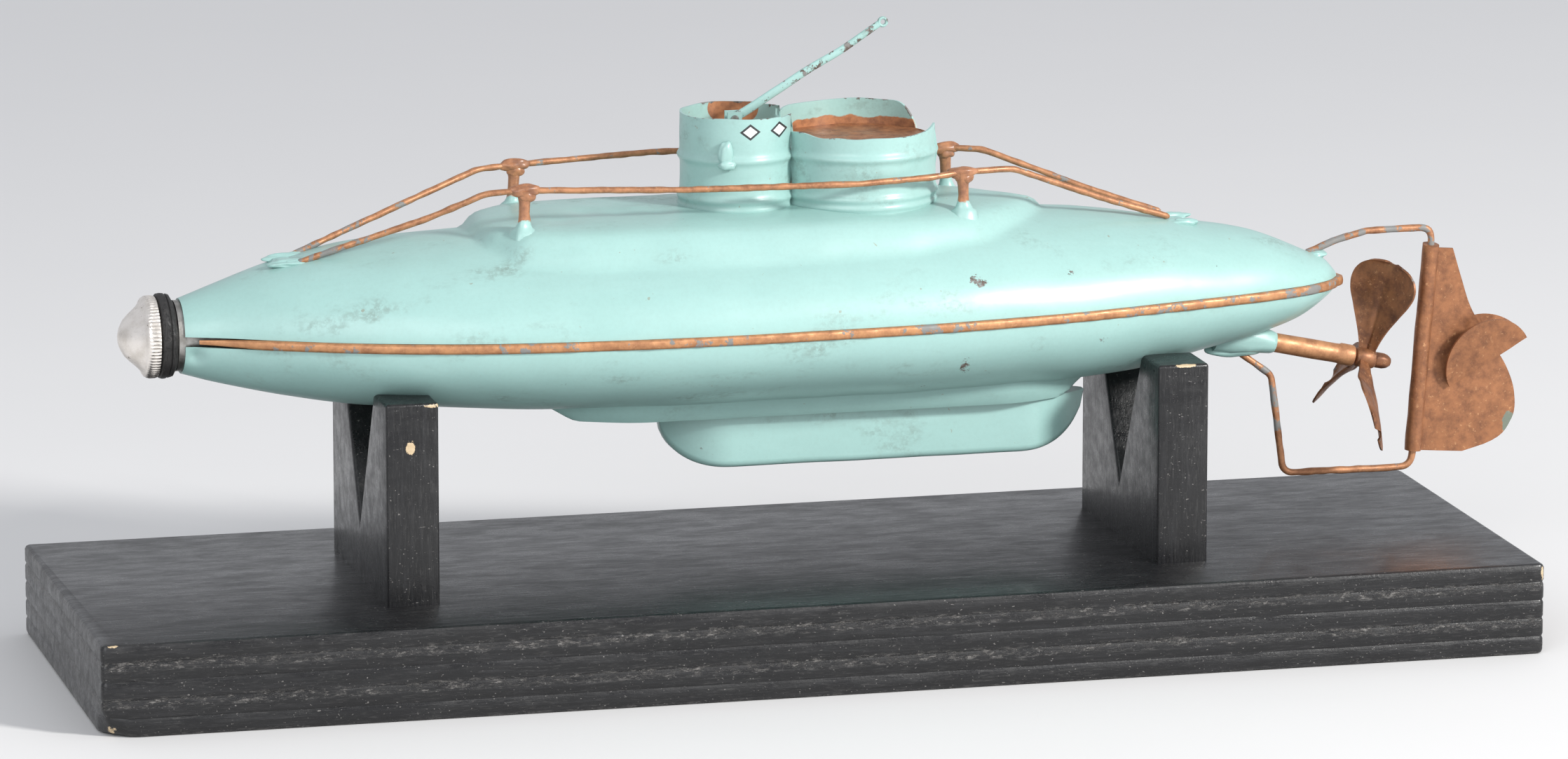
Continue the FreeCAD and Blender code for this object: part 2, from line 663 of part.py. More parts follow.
def make_rails():
    rails = {}
    for side, word in ((-1, "port"), (1, "starboard")):
        shape = bent_wire(rail_points(side), dim("rail_radius"), 12.0)
        rails[word] = shape
        node("handrail_" + word, solid(shape))
    for side, word in ((-1, "port"), (1, "starboard")):
        for end in ("fore", "aft"):
            make_post(side, word, end, rails[word])
    both = rails["port"].fuse(rails["starboard"])
    stern = dim("bow_x") + dim("hull_length")
    bow_x = dim("bow_x") + 23.0
    solder = blob(bow_x, 0, deck_z(bow_x) - 0.9, 6.5, 6.0, 2.6).cut(outer_skin).cut(both)
    node("rail_solder_bow", solid(largest(solder)))
    aft_x = stern - 33.5
    solder = blob(aft_x, 0, deck_z(aft_x) - 0.7, 5.0, 4.6, 2.2).cut(outer_skin).cut(both)
    node("rail_solder_stern", solid(largest(solder)))


def blob(x, y, z, length, width, height):
    """A lump of solder: a ball stretched to three half sizes."""
    ball = Part.makeSphere(1.0)
    stretch = Matrix(length, 0, 0, x, 0, width, 0, y, 0, 0, height, z, 0, 0, 0, 1)
    return ball.transformGeometry(stretch)


def make_post(side, word, end, rail):
    """A handrail post: a flared foot on the casing, a shank and a head that grips the rail."""
    shift = dim("post_stagger") if side > 0 else 0.0
    x = dim("post_%s_x" % end) + shift
    y = side * dim("rail_half_spacing")
    top = dim("seam_z") + dim("rail_rise") - (0.3 if end == "aft" else 0.0)
    foot_z = dim("seam_z") + dim("casing_edge_rise") - 1.5
    radius = dim("post_radius")
    shank = Part.makeCylinder(radius, top - foot_z, Vector(x, y, foot_z))
    foot = Part.makeCone(2.7, 1.15, 3.4, Vector(x, y, foot_z))
    head = blob(x, y, top, 3.2, 1.6, 1.6)
    shape = shank.fuse([foot, head]).cut(outer_skin).cut(rail)
    node("rail_post_%s_%s" % (word, end), solid(largest(shape)))


# ---------------------------------------------------------------- stern gear

def shaft_z(x):
    """Height of the propeller shaft's line at any x."""
    return shaft_point(0).z - (x - shaft_point(0).x) * math.tan(math.radians(dim("shaft_angle")))


def make_stern_tube(wire):
    length = dim("tube_length")
    bore = dim("tube_bore")
    tube = shaft_rod(dim("tube_radius"), -length, length)
    collar = shaft_rod(dim("tube_radius") + 0.25, -3.0, 3.0)
    through = shaft_rod(bore, -length - 1, length + 2)
    node("stern_tube", solid(tube.fuse(collar).cut(through).removeSplitter()))
    bushes = []
    for start in (-length, -4.0):
        bush = shaft_rod(bore, start, 4.0)
        bushes.append(bush.cut(shaft_rod(dim("shaft_radius") + dim("running_gap"), start - 1, 6.0)))
    node("stern_bushes", solid(Part.makeCompound(bushes)))
    taper = on_shaft(Part.makeCone(dim("tube_radius") + 2.0, dim("tube_radius") + 0.4, 14.0), -31.5)
    low = blob(wire.BoundBox.XMin + 1.0, 0, shaft_z(wire.BoundBox.XMin) - 3.0, 6.0, 1.9, 1.7)
    fairing = taper.fuse(low).cut(outer_hull).cut(tube).cut(wire)
    node("stern_tube_fairing", solid(largest(fairing)))


def wheel_blade():
    """One propeller blade rising along +Z from the hub, with the shaft along +X."""
    stations_on_blade = (
        (0.07, 0.16, 20), (0.28, 0.30, 12), (0.50, 0.58, 5), (0.70, 0.80, 0), (0.84, 0.80, -2),
        (0.94, 0.58, -4), (0.99, 0.25, -5),
    )
    radius = dim("propeller_radius")
    thick = dim("sheet_metal") / 2
    wires = []
    for reach, chord, twist in stations_on_blade:
        half = 0.5 * chord * radius
        angle = math.radians(dim("blade_pitch") + twist)
        along = Vector(math.sin(angle), -math.cos(angle), 0)
        across = Vector(math.cos(angle), math.sin(angle), 0) * thick
        centre = Vector(0, 0, reach * radius)
        ring = [centre + along * half + across, centre - along * half + across,
                centre - along * half - across, centre + along * half - across]
        wires.append(Part.makePolygon(ring + ring[:1]))
    return Part.makeLoft(wires, True, False)


def make_propeller():
    hub_radius = 1.9
    hub = Part.makeCylinder(hub_radius, 4.4, Vector(-2.2, 0, 0), Vector(1, 0, 0))
    parts = []
    for number in range(int(dim("blade_count"))):
        blade = wheel_blade()
        blade.rotate(Vector(), Vector(1, 0, 0), 360.0 * number / dim("blade_count") + 4)
        parts.append(blade)
    shape = hub.fuse(parts)
    bore = Part.makeCylinder(dim("shaft_radius"), 12, Vector(-6, 0, 0), Vector(1, 0, 0))
    shape = shape.cut(bore)
    centre = shaft_point(propeller_distance())
    shape.Placement = Placement(centre, Rotation(Vector(0, 1, 0), dim("shaft_angle")))
    node("propeller", solid(shape))
    nut = shaft_rod(1.6, propeller_distance() + 2.25, 2.2)
    cap = on_shaft(Part.makeSphere(1.6), propeller_distance() + 4.3)
    shaft_hole = shaft_rod(dim("shaft_radius"), propeller_distance(), 3.6)
    node("propeller_nut", solid(nut.fuse(cap).cut(shaft_hole).removeSplitter()))


def propeller_distance():
    return (dim("propeller_aft") - dim("tube_aft")) / math.cos(math.radians(dim("shaft_angle")))


def rudder_axis(distance):
    """A point on the rudder's hinge line, up from its foot."""
    rake = math.radians(dim("rudder_rake"))
    foot_x = dim("bow_x") + dim("hull_length") + dim("rudder_foot_aft")
    foot = Vector(foot_x, 0, dim("seam_z") - dim("rudder_foot_drop"))
    return foot + Vector(math.sin(rake), 0, math.cos(rake)) * distance


def make_rudder_wire():
    """One bent wire from the stern deck, down through the rudder's tube and back under the hull."""
    stern = dim("bow_x") + dim("hull_length")
    radius = dim("wire_radius")
    top = rudder_axis(dim("rudder_length") + 3.7)
    foot = rudder_axis(-3.3)
    entry_x = stern - 3.6
    low_x = stern - 20.5
    tube_clear = (dim("tube_radius") + radius + 0.15) / math.cos(math.radians(dim("shaft_angle")))
    low_z = shaft_z(low_x) - tube_clear
    points = [
        Vector(entry_x, 0, deck_z(entry_x) + radius + 0.1), Vector(stern + 0.2, 0, deck_z(entry_x) + 3.0),
        Vector(stern + 4.0, 0, top.z - 0.6), top, foot, Vector(stern - 10.2, 0, foot.z - 0.1),
        Vector(stern - 13.0, 0, low_z - 5.5), Vector(low_x, 0, low_z),
    ]
    wire = bent_wire(points, radius, 2.8)
    node("rudder_wire", solid(wire))
    upper = blob(entry_x - 0.4, 0, deck_z(entry_x) - 0.1, 2.4, 1.9, 1.5).cut(outer_hull).cut(wire)
    node("rudder_wire_solder", solid(largest(upper)))
    return wire


RUDDER_OUTLINE = (
    # reach aft of the hinge line and height up the tube, as shares of the tube's length
    (0.020, 0.985), (0.110, 0.990), (0.165, 0.850), (0.235, 0.690), (0.330, 0.560), (0.435, 0.420),
    (0.490, 0.290), (0.480, 0.160), (0.405, 0.060), (0.260, 0.005), (0.020, 0.000),
)


def make_rudder():
    """The rudder: sheet brass rolled round the wire, with its blade standing aft of the tube."""
    length = dim("rudder_length")
    outline = [Vector(a * length, 0, b * length) for a, b in RUDDER_OUTLINE]
    curve = Part.BSplineCurve()
    curve.interpolate(outline[1:])
    edges = [curve.toShape(), Part.LineSegment(outline[-1], outline[0]).toShape(),
             Part.LineSegment(outline[0], outline[1]).toShape()]
    thick = dim("sheet_metal")
    blade = Part.Face(Part.Wire(Part.__sortEdges__(edges)))
    blade.translate(Vector(0, -thick / 2, 0))
    blade = blade.extrude(Vector(0, thick, 0))
    tube = Part.makeCylinder(dim("rudder_tube_radius"), length)
    bore = Part.makeCylinder(dim("wire_radius") + dim("running_gap"), length + 2, Vector(0, 0, -1))
    shape = tube.fuse(blade).cut(bore).removeSplitter()
    shape.Placement = Placement(rudder_axis(0), Rotation(Vector(0, 1, 0), dim("rudder_rake")))
    node("rudder", solid(shape))
    for side, word in ((-1, "port"), (1, "starboard")):
        node("dive_plane_" + word, solid(dive_plane(side)))


def fold_middle():
    """The middle of the line along which the dive planes are folded out of the rudder."""
    length = dim("rudder_length")
    return rudder_axis(0.415 * length) + Vector(0.335 * length, 0, 0)


def dive_plane(side):
    """A half disc standing on the fold line and splayed away from the rudder blade."""
    radius = dim("plane_radius")
    thick = dim("sheet_metal")
    side_length = 3 * radius
    corner = Vector(-side_length / 2, -side_length / 2, -side_length)
    lower_side = Part.makeBox(side_length, side_length, side_length, corner)
    disc = Part.makeCylinder(radius, thick, Vector(0, -thick / 2, 0), Vector(0, 1, 0))
    half = disc.cut(lower_side)
    half.rotate(Vector(), Vector(1, 0, 0), -side * dim("plane_splay"))
    half.translate(Vector(0, side * (thick + 0.25), 0.15))
    half.rotate(Vector(), Vector(0, 1, 0), -dim("plane_tilt"))
    half.translate(fold_middle())
    return half


# ---------------------------------------------------------------- clockwork

def gear_face(teeth, share=0.40, phase=0.0):
    """A toothed wheel's outline in the XY plane, with straight-sided teeth that run with play."""
    module = dim("gear_module")
    pitch_radius = module * teeth / 2
    tip = pitch_radius + 0.85 * module
    root = pitch_radius - 1.1 * module
    step = 2 * math.pi / teeth
    points = []
    for tooth in range(int(teeth)):
        middle = tooth * step + phase
        for radius, width in ((root, 1.35), (tip, 0.45), (tip, -0.45), (root, -1.35)):
            angle = middle - width * share * step / 2
            points.append(Vector(radius * math.cos(angle), radius * math.sin(angle), 0))
    return Part.Face(Part.makePolygon(points + points[:1]))


def across(shape, x, y, z):
    """Turn a shape built on +Z so that it lies along +X at a place in the motor."""
    shape.Placement = Placement(Vector(x, y, z), ALONG_X)
    return shape


def rod_x(radius, x0, x1, y, z):
    return Part.makeCylinder(radius, x1 - x0, Vector(x0, y, z), Vector(1, 0, 0))


def motor_layout():
    """Axes of the movement: (y, z) of the winding arbor, the second arbor and the output arbor."""
    module = dim("gear_module")
    first = module * (dim("great_teeth") + dim("second_pinion_teeth")) / 2
    second = module * (dim("second_teeth") + dim("output_teeth")) / 2
    drop = dim("output_drop")
    winding = (0.0, dim("seam_z"))
    output = (0.0, dim("seam_z") - drop)
    height = (drop ** 2 + first ** 2 - second ** 2) / (2 * drop)
    spindle = (-math.sqrt(first ** 2 - height ** 2), dim("seam_z") - height)
    return winding, spindle, output


def plate_x(number):
    """The fore face of the fore, middle or aft plate."""
    thick = dim("plate_thickness")
    reach = (0.0, dim("plate_gap_fore") + thick, dim("plate_gap_fore") + dim("plate_gap_aft") + 2 * thick)
    return dim("motor_x") + reach[number]


def pillar_places():
    """(y, z) of the four pillars, clear of the wheels."""
    seam = dim("seam_z")
    half = dim("plate_half_width") - 3.0
    return ((-half, seam + 11.9), (half, seam + 11.9), (half, seam - 10.6), (-1.5, seam - 13.4))


def make_plates():
    winding, spindle, output = motor_layout()
    gap = dim("running_gap")
    winding_hole = (winding, dim("arbor_radius"))
    spindle_hole = (spindle, dim("spindle_radius"))
    output_hole = (output, dim("spindle_radius"))
    holes = {
        0: (winding_hole, spindle_hole),
        1: (winding_hole, spindle_hole, output_hole),
        2: (spindle_hole, output_hole),
    }
    for number, word in enumerate(("fore", "middle", "aft")):
        body = new_body("plate")
        x = "dims.motor_x"
        if number > 0:
            x += " + dims.plate_thickness + dims.plate_gap_fore"
        if number > 1:
            x += " + dims.plate_thickness + dims.plate_gap_aft"
        sketch = new_sketch(body, "YZ_Plane")
        half = "dims.plate_half_width"
        low = "-dims.plate_height / 2"
        high = "dims.plate_height / 2"
        corners = [
            ("-%s + 5" % half, low), ("%s - 5" % half, low),
            (half, low + " + 5"), (half, high + " - 5"),
            ("%s - 5" % half, high), ("-%s + 5" % half, high),
            ("-" + half, high + " - 5"), ("-" + half, low + " + 5"),
        ]
        polygon(sketch, corners)
        pad(body, sketch, "dims.plate_thickness")
        place(body, x, "0", "dims.seam_z - 0.3")
        x0 = plate_x(number)
        drilled = [rod_x(radius + gap, x0 - 1, x0 + 3, *spot) for spot, radius in holes[number]]
        node("motor_plate_" + word, cut(body, solid(Part.makeCompound(drilled))))
    make_pillars()


def make_pillars():
    pillars = []
    thick = dim("plate_thickness")
    for y, z in pillar_places():
        for number in (0, 1):
            pillars.append(rod_x(dim("pillar_radius"), plate_x(number) + thick, plate_x(number + 1), y, z))
    node("motor_pillars", solid(Part.makeCompound(pillars)))
    feet = []
    for number in (0, 2):
        bottom = dim("seam_z") - dim("hull_depth")
        top = dim("seam_z") - 0.3 - dim("plate_height") / 2
        feet.append(Part.makeBox(thick, 12.0, top - bottom, Vector(plate_x(number), -6.0, bottom)))
    foot_shape = Part.makeCompound([foot.common(inner_hull) for foot in feet])
    node("motor_feet", solid(foot_shape))


def make_winding():
    """The winding arbor with its squared fore end and the ratchet wheel fixed to it."""
    winding, _, _ = motor_layout()
    end = dim("bow_x") + 1.0
    square_length = 8.0
    radius = dim("arbor_radius")
    side = 1.35 * radius
    square = Part.makeBox(square_length, side, side, Vector(end, -side / 2, dim("seam_z") - side / 2))
    stop = plate_x(1) + dim("plate_thickness") + 0.4
    arbor = rod_x(radius, end + square_length, stop, *winding)
    collar = rod_x(radius + 1.0, plate_x(0) - 1.7, plate_x(0) - 0.4, *winding)
    node("winding_arbor", solid(square.fuse([arbor, collar]).removeSplitter()))
    ratchet = ratchet_face().extrude(Vector(0, 0, 0.9))
    ratchet = across(ratchet, wheel_x(0) + dim("wheel_thickness") + 0.35, *winding)
    hole = rod_x(radius, plate_x(0), plate_x(2), *winding)
    node("ratchet_wheel", solid(ratchet.cut(hole)))


def wheel_x(number):
    """Fore face of the great wheel and of the second wheel."""
    return (plate_x(1) - 5.0, plate_x(1) + dim("plate_thickness") + 4.2)[number]


def ratchet_face():
    """Saw-toothed wheel: each tooth climbs slowly and drops at once."""
    count = int(dim("ratchet_teeth"))
    high, low = 5.2, 4.3
    points = []
    for tooth in range(count):
        start = 2 * math.pi * tooth / count
        end = 2 * math.pi * (tooth + 1) / count - 0.02
        points.append(Vector(low * math.cos(start), low * math.sin(start), 0))
        points.append(Vector(high * math.cos(end), high * math.sin(end), 0))
    return Part.Face(Part.makePolygon(points + points[:1]))


def make_wheels():
    winding, spindle, output = motor_layout()
    thick = dim("wheel_thickness")
    module = dim("gear_module")
    bearing = rod_x(dim("arbor_radius") + dim("running_gap"), plate_x(0), plate_x(2), *winding)
    great = across(gear_face(dim("great_teeth")).extrude(Vector(0, 0, thick)), wheel_x(0), *winding)
    boss = rod_x(dim("arbor_radius") + 0.9, wheel_x(0) - 1.2, wheel_x(0), *winding)
    node("great_wheel", solid(great.fuse(boss).cut(bearing)))
    make_click(winding)
    axle = rod_x(dim("spindle_radius"), plate_x(0) - 0.6, plate_x(2) + dim("plate_thickness") + 0.6, *spindle)
    pinion = meshed(dim("second_pinion_teeth"), dim("great_teeth"), winding, spindle, 3.0)
    pinion = across(pinion, wheel_x(0) - 0.9, *spindle)
    node("second_pinion", solid(pinion.fuse(axle).removeSplitter()))
    wheel = gear_face(dim("second_teeth")).extrude(Vector(0, 0, thick))
    wheel = across(wheel, wheel_x(1), *spindle).cut(axle)
    node("second_wheel", solid(wheel))
    output_pinion = meshed(dim("output_teeth"), dim("second_teeth"), spindle, output, 3.0)
    output_pinion = across(output_pinion, wheel_x(1) - 0.9, *output)
    shaft_end = coupling_x() - 3.4
    arbor = rod_x(dim("spindle_radius"), plate_x(1) - 0.4, shaft_end, *output)
    node("output_pinion", solid(output_pinion.cut(arbor)))
    make_spring(winding)
    make_output_shaft(arbor, output)


def meshed(teeth, driver_teeth, driver, driven, length):
    """A pinion turned so that one of its gaps faces a tooth of the wheel that drives it."""
    # Seen along +X the wheels lie with local x towards -Z and local y towards +Y.
    offset = (driven[0] - driver[0], driven[1] - driver[1])
    towards = math.atan2(offset[0], -offset[1])
    driver_step = 2 * math.pi / driver_teeth
    nearest = round(towards / driver_step) * driver_step
    slip = (towards - nearest) * driver_teeth / teeth
    step = 2 * math.pi / teeth
    phase = towards + math.pi + slip + step / 2
    return gear_face(teeth, 0.40, phase).extrude(Vector(0, 0, length))


def make_click(winding):
    """The ratchet's click on a stud in the great wheel, lifted just clear of the teeth."""
    x = wheel_x(0) + dim("wheel_thickness") + 0.35
    pivot = (winding[0] + 7.6, winding[1])
    stud = rod_x(0.6, wheel_x(0) + dim("wheel_thickness"), x + 1.3, *pivot)
    node("click_stud", solid(stud))
    body = rod_x(1.1, x, x + 0.9, *pivot)
    beak = Part.makePolygon([
        Vector(x, pivot[0] + 1.05, pivot[1]), Vector(x, pivot[0] - 0.55, pivot[1] - 0.8),
        Vector(x, winding[0] + 4.75, winding[1] - 3.1), Vector(x, winding[0] + 5.6, winding[1] - 3.2),
        Vector(x, pivot[0] + 1.05, pivot[1]),
    ])
    beak = Part.Face(beak).extrude(Vector(0.9, 0, 0))
    hole = rod_x(0.6 + dim("running_gap"), x - 1, x + 2, *pivot)
    node("ratchet_click", solid(body.fuse(beak).cut(hole).removeSplitter()))


def make_spring(winding):
    """The mainspring: a steel ribbon wound in an even spiral round the arbor."""
    turns = int(dim("spring_turns"))
    inner, outer, thick = dim("arbor_radius") + 0.9, 9.6, 0.3
    curves = []
    for side in (-thick / 2, thick / 2):
        points = []
        for step in range(turns * 16 + 1):
            angle = 2 * math.pi * step / 16
            radius = inner + (outer - inner) * step / (turns * 16) + side
            points.append(Vector(radius * math.cos(angle), radius * math.sin(angle), 0))
        curve = Part.BSplineCurve()
        curve.interpolate(points)
        curves.append((curve.toShape(), points[0], points[-1]))
    ends = [Part.LineSegment(curves[0][i], curves[1][i]).toShape() for i in (1, 2)]
    outline = Part.Wire(Part.__sortEdges__([curves[0][0], curves[1][0]] + ends))
    ribbon = Part.Face(outline).extrude(Vector(0, 0, dim("spring_width")))
    node("mainspring", solid(across(ribbon, plate_x(0) + dim("plate_thickness") + 0.7, *winding)))


def coupling_x():
    """Where the shaft's line crosses the output arbor's line."""
    reach = (dim("tube_aft_drop") - dim("output_drop")) / math.tan(math.radians(dim("shaft_angle")))
    return dim("bow_x") + dim("hull_length") + dim("tube_aft") - reach


def make_output_shaft(arbor, output):
    node("output_arbor", solid(arbor))
    x = coupling_x() - 3.4
    disc = rod_x(dim("coupling_radius"), x, x + 1.0, *output)
    pin = rod_x(0.6, x + 1.0, x + 5.6, output[0], output[1] + 0.7 * dim("coupling_radius"))
    node("coupling_disc", solid(disc.fuse(pin).removeSplitter()))
    support_x = coupling_x() - 16.0
    seam = dim("seam_z")
    bottom = seam - dim("hull_depth")
    top = output[1] + 3.0
    strap = Part.makeBox(1.0, 9.0, top - bottom, Vector(support_x, -4.5, bottom)).common(inner_hull)
    hole = rod_x(dim("spindle_radius") + dim("running_gap"), support_x - 1, support_x + 3, *output)
    node("arbor_support", solid(strap.cut(hole)))
    make_propeller_shaft()


def make_propeller_shaft():
    """The inclined shaft with the slotted fork that the coupling pin drives."""
    start = -(dim("tube_aft_drop") - dim("output_drop")) / math.sin(math.radians(dim("shaft_angle")))
    end = propeller_distance() + 3.4
    radius = dim("coupling_radius")
    fork = on_shaft(Part.makeCylinder(radius, 1.0, Vector(0, 0, -0.5)), start)
    slot_corner = Vector(-2 * radius - 2.0, -0.95, -2.0)
    slot = on_shaft(Part.makeBox(2 * radius, 1.9, 4.0, slot_corner), start)
    core = shaft_rod(dim("shaft_radius"), start - 0.5, 2.0)
    node("coupling_fork", solid(fork.cut(slot).cut(core)))
    node("propeller_shaft", solid(shaft_rod(dim("shaft_radius"), start - 0.5, end - start + 0.5)))


# ---------------------------------------------------------------- build and export

make_stand()
make_hull()
make_seam_band()
make_keel()
make_bow()
make_tower()
make_rails()
make_stern_tube(make_rudder_wire())
make_propeller()
make_rudder()
make_plates()
make_winding()
make_wheels()
doc.recompute()


def check_document():
    for thing in doc.Objects:
        if "Invalid" in thing.State or "Error" in thing.State:
            raise RuntimeError("%s did not rebuild: %s" % (thing.Label, thing.State))
    for thing in nodes:
        shape = thing.Shape
        if shape.isNull() or not shape.isValid() or not shape.Solids:
            raise RuntimeError("%s has no valid solid" % thing.Label)


def export_nodes():
    os.makedirs("parts", exist_ok=True)
    for thing in nodes:
        thing.Shape.exportStep(os.path.join("parts", thing.Label + ".step"))
        size = thing.Shape.BoundBox
        print("%-26s solids %d  volume %9.2f  x %.1f..%.1f  y %.1f..%.1f  z %.1f..%.1f" % (
            thing.Label, len(thing.Shape.Solids), thing.Shape.Volume, size.XMin, size.XMax,
            size.YMin, size.YMax, size.ZMin, size.ZMax))


check_document()
export_nodes()
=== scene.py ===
# %% [markdown]
# # A clockwork tin submarine on its cradle
# This lesson builds the visible surface of a worn tin toy over its engineering model.
# Sizes are written in millimetres and turned into metres when a mesh is made.
# The engineering model comes first, because every visible piece has to ride on one of its bodies.

# %% Load the frame
import bpy
import bmesh
import json
import math
import numpy as np
from mathutils import Matrix, Vector, noise


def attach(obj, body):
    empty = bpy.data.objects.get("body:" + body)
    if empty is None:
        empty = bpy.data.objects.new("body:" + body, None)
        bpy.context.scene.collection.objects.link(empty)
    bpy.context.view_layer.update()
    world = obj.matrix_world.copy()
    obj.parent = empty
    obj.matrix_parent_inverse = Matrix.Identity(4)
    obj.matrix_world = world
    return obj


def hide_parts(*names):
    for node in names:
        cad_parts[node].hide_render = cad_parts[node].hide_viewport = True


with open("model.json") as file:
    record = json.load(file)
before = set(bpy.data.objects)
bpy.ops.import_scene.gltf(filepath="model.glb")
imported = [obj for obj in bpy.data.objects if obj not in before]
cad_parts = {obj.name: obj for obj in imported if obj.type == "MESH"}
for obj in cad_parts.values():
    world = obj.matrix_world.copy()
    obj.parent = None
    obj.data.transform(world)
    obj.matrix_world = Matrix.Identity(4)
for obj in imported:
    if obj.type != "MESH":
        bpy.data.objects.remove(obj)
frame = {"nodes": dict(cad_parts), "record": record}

MM = 0.001
scene = bpy.context.scene
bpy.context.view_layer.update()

# %% [markdown]
# ## Small tools for meshes
# Pressed sheet is easiest to describe as a grid of points, and turned parts as a profile that is spun.
# The helpers below turn grids, lathe profiles and bent wires into closed meshes and hand them over
# with the body they ride on and the plain model nodes they stand for.

# %% Mesh helpers
def spline(xs, ys, at):
    """A smooth curve through points, with slopes taken from their neighbours."""
    xs, ys, at = np.array(xs, float), np.array(ys, float), np.asarray(at, float)
    slope = np.gradient(ys, xs)
    k = np.clip(np.searchsorted(xs, at) - 1, 0, len(xs) - 2)
    width = xs[k + 1] - xs[k]
    t = np.clip((at - xs[k]) / width, 0, 1)
    a, b = 2 * t**3 - 3 * t**2 + 1, -2 * t**3 + 3 * t**2
    c, d = t**3 - 2 * t**2 + t, t**3 - t**2
    return a * ys[k] + b * ys[k + 1] + c * width * slope[k] + d * width * slope[k + 1]


def wobble(point, size, depth, seed=0.0):
    """A gentle unevenness of the given size and depth at a point."""
    return depth * noise.noise(Vector(point) / size + Vector((seed, 7 * seed, -seed)))


def grid_mesh(rows, close_rows=False, close_columns=False, caps=False):
    """A bmesh of quads through rows of points, in millimetres."""
    bm = bmesh.new()
    verts = [[bm.verts.new([c * MM for c in p]) for p in row] for row in rows]
    count, width = len(verts), len(verts[0])
    for i in range(count if close_rows else count - 1):
        for j in range(width if close_columns else width - 1):
            near, far = verts[i], verts[(i + 1) % count]
            bm.faces.new((near[j], near[(j + 1) % width], far[(j + 1) % width], far[j]))
    if caps:
        bm.faces.new(verts[0][::-1])
        bm.faces.new(verts[-1])
    return bm


def thicken(bm, depth):
    """Give an open sheet a thickness, in millimetres, on the side away from its normals."""
    bm.normal_update()
    sheet = list(bm.verts)
    faces = list(bm.faces)
    rims = [e.link_loops[0] for e in bm.edges if e.is_boundary]
    pairs = [(loop.vert, loop.link_loop_next.vert) for loop in rims]
    back = {v: bm.verts.new(v.co - v.normal * depth * MM) for v in sheet}
    for face in faces:
        bm.faces.new([back[v] for v in reversed(face.verts)])
    for a, b in pairs:
        bm.faces.new((b, a, back[a], back[b]))
    return bm


def finish_mesh(name, bm, body, nodes, material, sharp=35, outward=True):
    """Turn a bmesh into a piece that rides on a body in place of plain nodes."""
    bmesh.ops.remove_doubles(bm, verts=bm.verts[:], dist=1e-7)
    if outward:
        bmesh.ops.recalc_face_normals(bm, faces=bm.faces[:])
    mesh = bpy.data.meshes.new(name)
    bm.to_mesh(mesh)
    bm.free()
    mesh.shade_smooth()
    mesh.set_sharp_from_angle(angle=math.radians(sharp))
    piece = bpy.data.objects.new(name, mesh)
    scene.collection.objects.link(piece)
    mesh.materials.append(material)
    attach(piece, body)
    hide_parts(*nodes)
    return piece


def lathe(profile, segments=64, ripple=None):
    """Spin (distance, radius) pairs about X. Ripple may change a radius by distance and angle."""
    rows = []
    for distance, radius in profile:
        row = []
        for k in range(segments):
            angle = 2 * math.pi * k / segments
            r = radius + (ripple(distance, angle, radius) if ripple else 0.0)
            row.append((distance, r * math.cos(angle), r * math.sin(angle)))
        rows.append(row)
    return grid_mesh(rows, close_columns=True, caps=True)


def bend_path(points, bend, step=0.6):
    """Straight runs joined by round bends, as a dense list of points."""
    path = [Vector(points[0])]
    for before, corner, after in zip(points, points[1:], points[2:]):
        before, corner, after = Vector(before), Vector(corner), Vector(after)
        back, ahead = (before - corner), (after - corner)
        half = back.angle(ahead) / 2
        reach = min(0.45 * min(back.length, ahead.length), bend / math.tan(half))
        entry, leave = corner + back.normalized() * reach, corner + ahead.normalized() * reach
        for k in range(9):
            t = k / 8
            path.append(entry * (1 - t) ** 2 + corner * 2 * t * (1 - t) + leave * t**2)
    path.append(Vector(points[-1]))
    dense = [path[0]]
    for a, b in zip(path, path[1:]):
        pieces = max(1, int((b - a).length / step))
        dense += [a.lerp(b, k / pieces) for k in range(1, pieces + 1)]
    return dense


def wire(points, radius, bend, sides=14, rough=0.04, seed=1.0):
    """A hand-bent round wire along a path, in millimetres."""
    path = bend_path(points, bend)
    side = Vector((0, 1, 0.01)).normalized()
    rows = []
    for k, centre in enumerate(path):
        ahead = (path[min(k + 1, len(path) - 1)] - path[max(k - 1, 0)]).normalized()
        side = (side - ahead * side.dot(ahead)).normalized()
        other = ahead.cross(side)
        taper = 0.55 if k in (0, len(path) - 1) else 1.0
        row = []
        for s in range(sides):
            angle = 2 * math.pi * s / sides
            spot = centre + (side * math.cos(angle) + other * math.sin(angle)) * radius
            r = radius * taper * (1 + wobble(spot, 2.5, rough * 4, seed))
            row.append(centre + (side * math.cos(angle) + other * math.sin(angle)) * r)
        rows.append(row)
    return grid_mesh(rows, close_columns=True, caps=True)


def lump(centre, half_sizes, seed, rough=0.12):
    """A soft lump of solder: an uneven ball, in millimetres."""
    bm = bmesh.new()
    bmesh.ops.create_icosphere(bm, subdivisions=4, radius=1.0)
    for v in bm.verts:
        swell = 1 + wobble(v.co, 0.8, rough, seed)
        v.co = Vector([(c + s * d * swell) * MM for c, s, d in zip(centre, half_sizes, v.co)])
    return bm


def join(*meshes):
    """Several bmeshes as one."""
    whole = bmesh.new()
    for bm in meshes:
        part = bpy.data.meshes.new("part")
        bm.to_mesh(part)
        bm.free()
        whole.from_mesh(part)
        bpy.data.meshes.remove(part)
    return whole


def place(bm, matrix):
    """Move a bmesh, whose matrix is given in millimetres."""
    moved = matrix.copy()
    moved.translation = matrix.translation * MM
    bmesh.ops.transform(bm, matrix=moved, verts=bm.verts[:])
    return bm


print("mesh helpers ready")

# %% [markdown]
# ## Paints and metals
# The toy was dipped and brushed with a pale blue-green enamel, then picked out in copper paint.
# Enamel on tin fails in small chips that show grey metal, and dirt gathers in soft clouds and streaks.
# Every finish is a small network of noises in the object's own space, so it stays put when a part moves.

